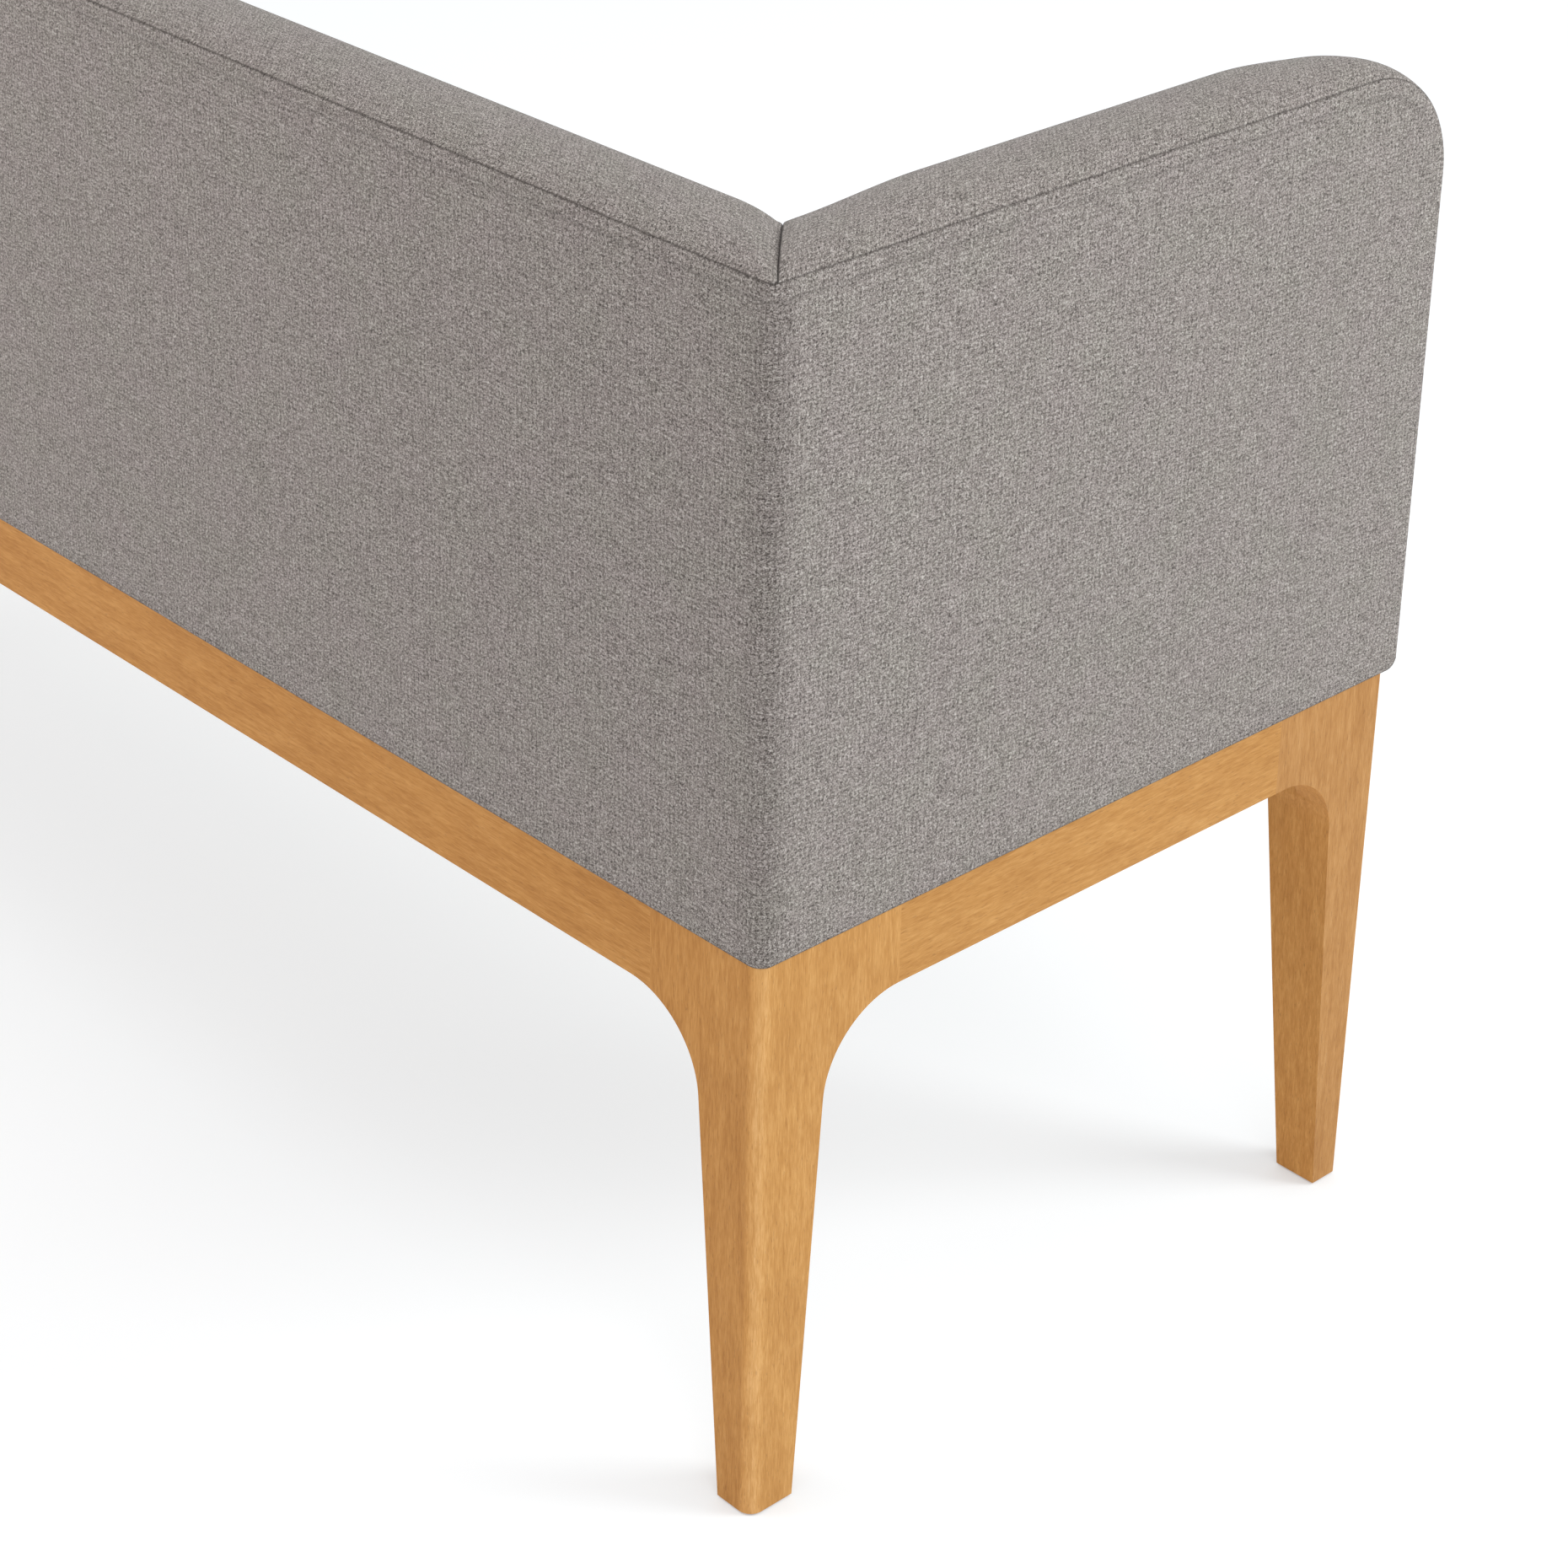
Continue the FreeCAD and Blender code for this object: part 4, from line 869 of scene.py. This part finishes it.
def inner_back():
    """The padded inner face of the back."""
    behind = 8 * mm  # how far it runs on behind the arms' ends
    reach = half_length - wall + behind
    ends = [0, 3.5, 5.5, 7, 8, 9, 10, 11.5, 13.5, 16.5, 20.5]
    x = spaced(ends, 2 * reach, ends, 9 * mm) - reach
    rows = spaced([0, 2, 5], seam - tuck_height, near_seam, 9 * mm)
    top = seam - back_fall(reach - behind - np.abs(x))
    z = tuck_height + (top - tuck_height) * (rows / rows[-1])[:, None]
    wide = np.broadcast_to(x, z.shape)
    to_end = reach - behind - np.abs(wide)
    to_seam = top - z
    face_in = wall - roll(to_seam, top_roll) - 0.8 * roll(np.maximum(to_end, 0), 5 * mm)
    z = z - corner_dip * near(to_end, dip_width) * near(to_seam, dip_depth)
    pad = bulge(z, seat_seam, seam - 12 * mm, 5.2 * mm)
    face_in = face_in + pad * ease(to_seam / (25 * mm)) * ease(to_end / (30 * mm))
    face_in = face_in + waves(wide, z, 0.6 * mm, 22) * ease(to_seam / (30 * mm)) * (z > seat_seam)
    face = np.stack([wide, half_depth - face_in, z], -1)
    back = np.stack([wide, np.full(z.shape, webbing_face - 0.2 * mm), z], -1)
    # Painted shade in the top seam and at its ends behind the arms.
    painted_shade = np.maximum(near(to_seam, 0.9 * mm), 0.7 * near(np.maximum(to_end, 0), 2 * mm))
    obj = closed_form("inner_back", face, back, wide, z, painted_shade)
    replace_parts(dress(obj, fabric), "inner_back_cover", "back_foam", "back_webbing")


# The seat: a crowned top over foam, and a border down its front

seat_gap = 0.6 * mm    # between the seat and the walls round it
end_crown = 5 * mm     # the seat's crown from front to rear at its ends
seat_crown = 9.3 * mm  # and how much more it is in the middle
seat_roll = 9 * mm     # where the seat turns down to the walls
front_roll = 2.2 * mm  # at its front seam


def seat_top():
    """The tight seat: its cover over the foam, crowned along and across."""
    reach = -seat_low.x - seat_gap
    front = seat_low.y
    rear = seat_high.y - seat_gap
    x = spaced(near_tuck, 2 * reach, near_tuck, 9 * mm) - reach
    rows = spaced(near_seam, rear - front, near_tuck, 9 * mm)
    y = np.broadcast_to((front + rows)[:, None], (len(rows), len(x)))
    wide = np.broadcast_to(x, y.shape)
    share = np.abs(wide) / reach
    rise = end_crown + seat_crown * (1 - share ** 2.2)
    run = (y - front) / (rear - front)
    height = rise * (4 * run * (1 - run)) ** 0.8
    to_end = reach - np.abs(wide)
    to_front = y - front
    to_rear = rear - y
    inside = np.minimum(to_end, np.minimum(to_front, to_rear))
    height = height + waves(wide, y, 0.8 * mm, 31) * ease(inside / (60 * mm))
    z = (seat_seam + height - roll(to_end, seat_roll) - roll(to_rear, seat_roll)
         - roll(to_front, front_roll))
    face = np.stack([wide, y, z], -1)
    back_y = np.maximum(y, border_low.y + 16 * mm)
    back = np.stack([wide, back_y, np.full(y.shape, deck + 1 * mm)], -1)
    # Painted shade in the front seam and where it meets the walls.
    painted_shade = np.maximum(near(to_front, 0.9 * mm), 0.8 * near(to_end, 2 * mm))
    painted_shade = np.maximum(painted_shade, 0.8 * near(to_rear, 2 * mm))
    obj = closed_form("seat_top", face, back, wide, y, painted_shade, flip=True)
    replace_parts(dress(obj, fabric), "seat_cover", "seat_foam", "spring_insulator")


def seat_border():
    """The strip down the seat's front, between the arms."""
    reach = border_high.x - seat_gap
    ends = [0, .6, 1.3, 2.2, 3.4, 5, 7, 11]
    x = spaced(ends, 2 * reach, ends, 9 * mm) - reach
    top = seat_seam - 0.4 * mm
    rows = spaced(near_edge, top - body_base, near_edge, 5 * mm)
    z = np.broadcast_to((body_base + rows)[:, None], (len(rows), len(x)))
    wide = np.broadcast_to(x, z.shape)
    share = (z - body_base) / (top - body_base)
    to_end = reach - np.abs(wide)
    out = 3 * mm * 4 * share * (1 - share) * ease(to_end / (20 * mm))
    inward = np.maximum(roll(top - z, front_roll), roll(z - body_base, low_roll))
    inward = inward + roll(to_end, 2.5 * mm)
    y = seat_low.y - out + inward
    face = np.stack([wide, y, z], -1)
    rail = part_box("seat_front_rail")[0].y
    back = np.stack([wide, np.full(z.shape, rail - thin), z], -1)
    # Painted shade in its seams and at its ends.
    painted_shade = np.maximum(near(top - z, 0.9 * mm), near(z - body_base, 0.5 * mm))
    painted_shade = np.maximum(painted_shade, 0.8 * near(to_end, 1.2 * mm))
    obj = closed_form("seat_border", face, back, wide, z, painted_shade)
    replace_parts(dress(obj, fabric), "seat_front_border")


def dust_sheet():
    """The cover under the body, which sags between the rails and the middle stretcher."""
    low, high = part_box("dust_cover")
    x = spaced(near_hem, high.x - low.x, near_hem, 12 * mm) + low.x
    rows = spaced(near_hem, high.y - low.y, near_hem, 12 * mm) + low.y
    y = np.broadcast_to(rows[:, None], (len(rows), len(x)))
    wide = np.broadcast_to(x, y.shape)
    front_rail_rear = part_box("front_rail")[1].y
    to_ends = half_length - 50 * mm - np.abs(wide)
    to_rear = rail_low.y - 12 * mm - y
    to_front = y - front_rail_rear - 12 * mm
    to_middle = np.abs(wide) - 34 * mm
    sag = 4 * mm
    for free in (to_ends, to_rear, to_front, to_middle):
        sag = sag * ease(free / (90 * mm))
    z = high.z - 0.1 * mm - sag - waves(wide, y, 0.8 * mm, 41) * (sag > 0.5 * mm)
    face = np.stack([wide, y, z], -1)
    back = face - [0, 0, thin]
    obj = closed_form("dust_sheet", face, back, wide, y, np.zeros(y.shape), flip=True)
    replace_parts(dress(obj, cloth_black), "dust_cover")


outer_cover()
for side in (-1, 1):
    arm_strip(side)
back_strip()
for side in (-1, 1):
    inner_arm(side)
inner_back()
seat_top()
seat_border()
dust_sheet()


# Floor, light and camera

def floor():
    """A pale studio floor. It glows a little to stay evenly bright, and a painted contact shadow
    darkens the glow close to the bench; the lights' own shadows fall on it too."""
    size = 14.0
    mesh = bpy.data.meshes.new("floor")
    mesh.from_pydata([(-size, -size, 0), (size, -size, 0), (size, size, 0), (-size, size, 0)],
                     [], [(0, 1, 2, 3)])
    obj = bpy.data.objects.new("floor", mesh)
    bpy.context.scene.collection.objects.link(obj)
    material, tree, shader = new_material("floor")
    shader.inputs["Base Color"].default_value = (0.495, 0.502, 0.508, 1)
    shader.inputs["Roughness"].default_value = 0.9
    shader.inputs["Specular IOR Level"].default_value = 0.0
    shader.inputs["Emission Color"].default_value = (0.985, 1, 1.01, 1)
    glow, contact_reach, contact_power = 0.59, 0.16, 0.36
    # Painted contact shadow: the glow is dimmed where the bench is near.
    close = node(tree, "ShaderNodeAmbientOcclusion", samples=12)
    close.inputs["Distance"].default_value = contact_reach
    shade = math_node(tree, "POWER", close.outputs["AO"], contact_power)
    tree.links.new(math_node(tree, "MULTIPLY", shade, glow), shader.inputs["Emission Strength"])
    mesh.materials.append(material)


def world_light(strength):
    """Even light from all round."""
    world = bpy.data.worlds.new("studio")
    world.use_nodes = True
    background = world.node_tree.nodes["Background"]
    background.inputs["Color"].default_value = (0.99, 1, 1.005, 1)
    background.inputs["Strength"].default_value = strength
    bpy.context.scene.world = world


def area_light(name, place, target, size, power, colour=(1, 1, 1)):
    light = bpy.data.lights.new(name, "AREA")
    light.shape = "DISK"
    light.size = size
    light.energy = power
    light.color = colour
    obj = bpy.data.objects.new(name, light)
    obj.location = place
    way = Vector(target) - Vector(place)
    obj.rotation_euler = way.to_track_quat("-Z", "Y").to_euler()
    bpy.context.scene.collection.objects.link(obj)


def camera():
    """The photograph's camera, fitted to the bench's straight edges. Its picture is cropped
    off centre, which the shift gives. The lens and the shift come from pixels of the photo."""
    heading = math.radians(49.0485)
    pitch = math.radians(25.1917)
    picture, focal, centre_x, centre_y = 1860, 4575.57, 727.145, 580.343
    data = bpy.data.cameras.new("camera")
    data.sensor_width = 36
    data.lens = focal / picture * data.sensor_width
    data.shift_x = (picture / 2 - centre_x) / picture
    data.shift_y = (centre_y - picture / 2) / picture
    data.clip_start = 0.05
    data.clip_end = 100
    obj = bpy.data.objects.new("camera", data)
    corner = Vector((-leg_corner_x, rail_high.y, rail_high.z))
    from_corner = Vector((-1.3838, 1.3136, 1.2064))
    obj.location = corner + from_corner
    way = Vector((math.cos(pitch) * math.sin(heading), -math.cos(pitch) * math.cos(heading),
                  -math.sin(pitch)))
    obj.rotation_mode = "QUATERNION"
    obj.rotation_quaternion = way.to_track_quat("-Z", "Y")
    bpy.context.scene.collection.objects.link(obj)
    bpy.context.scene.camera = obj


floor()
world_light(0.50)
aim = (-0.4, 0, 0.3)
area_light("key", (-3.8, -2.99, 3.59), aim, 2.4, 170, (0.95, 1.0, 1.01))
area_light("camera side", (-3.77, 2.1, 4.26), aim, 2.4, 36)
area_light("rear light", (1.0, 2.0, 1.6), aim, 1.6, 18, (1.06, 1.0, 0.98))
area_light("top light", (-0.6, 0.3, 4.6), aim, 2.4, 31)
area_light("side fill", (-3.87, -0.32, 0.75), (-0.7, 0, 0.3), 1.6, 7)
camera()
bpy.context.scene.view_settings.view_transform = "Standard"
bpy.context.scene.view_settings.look = "None"
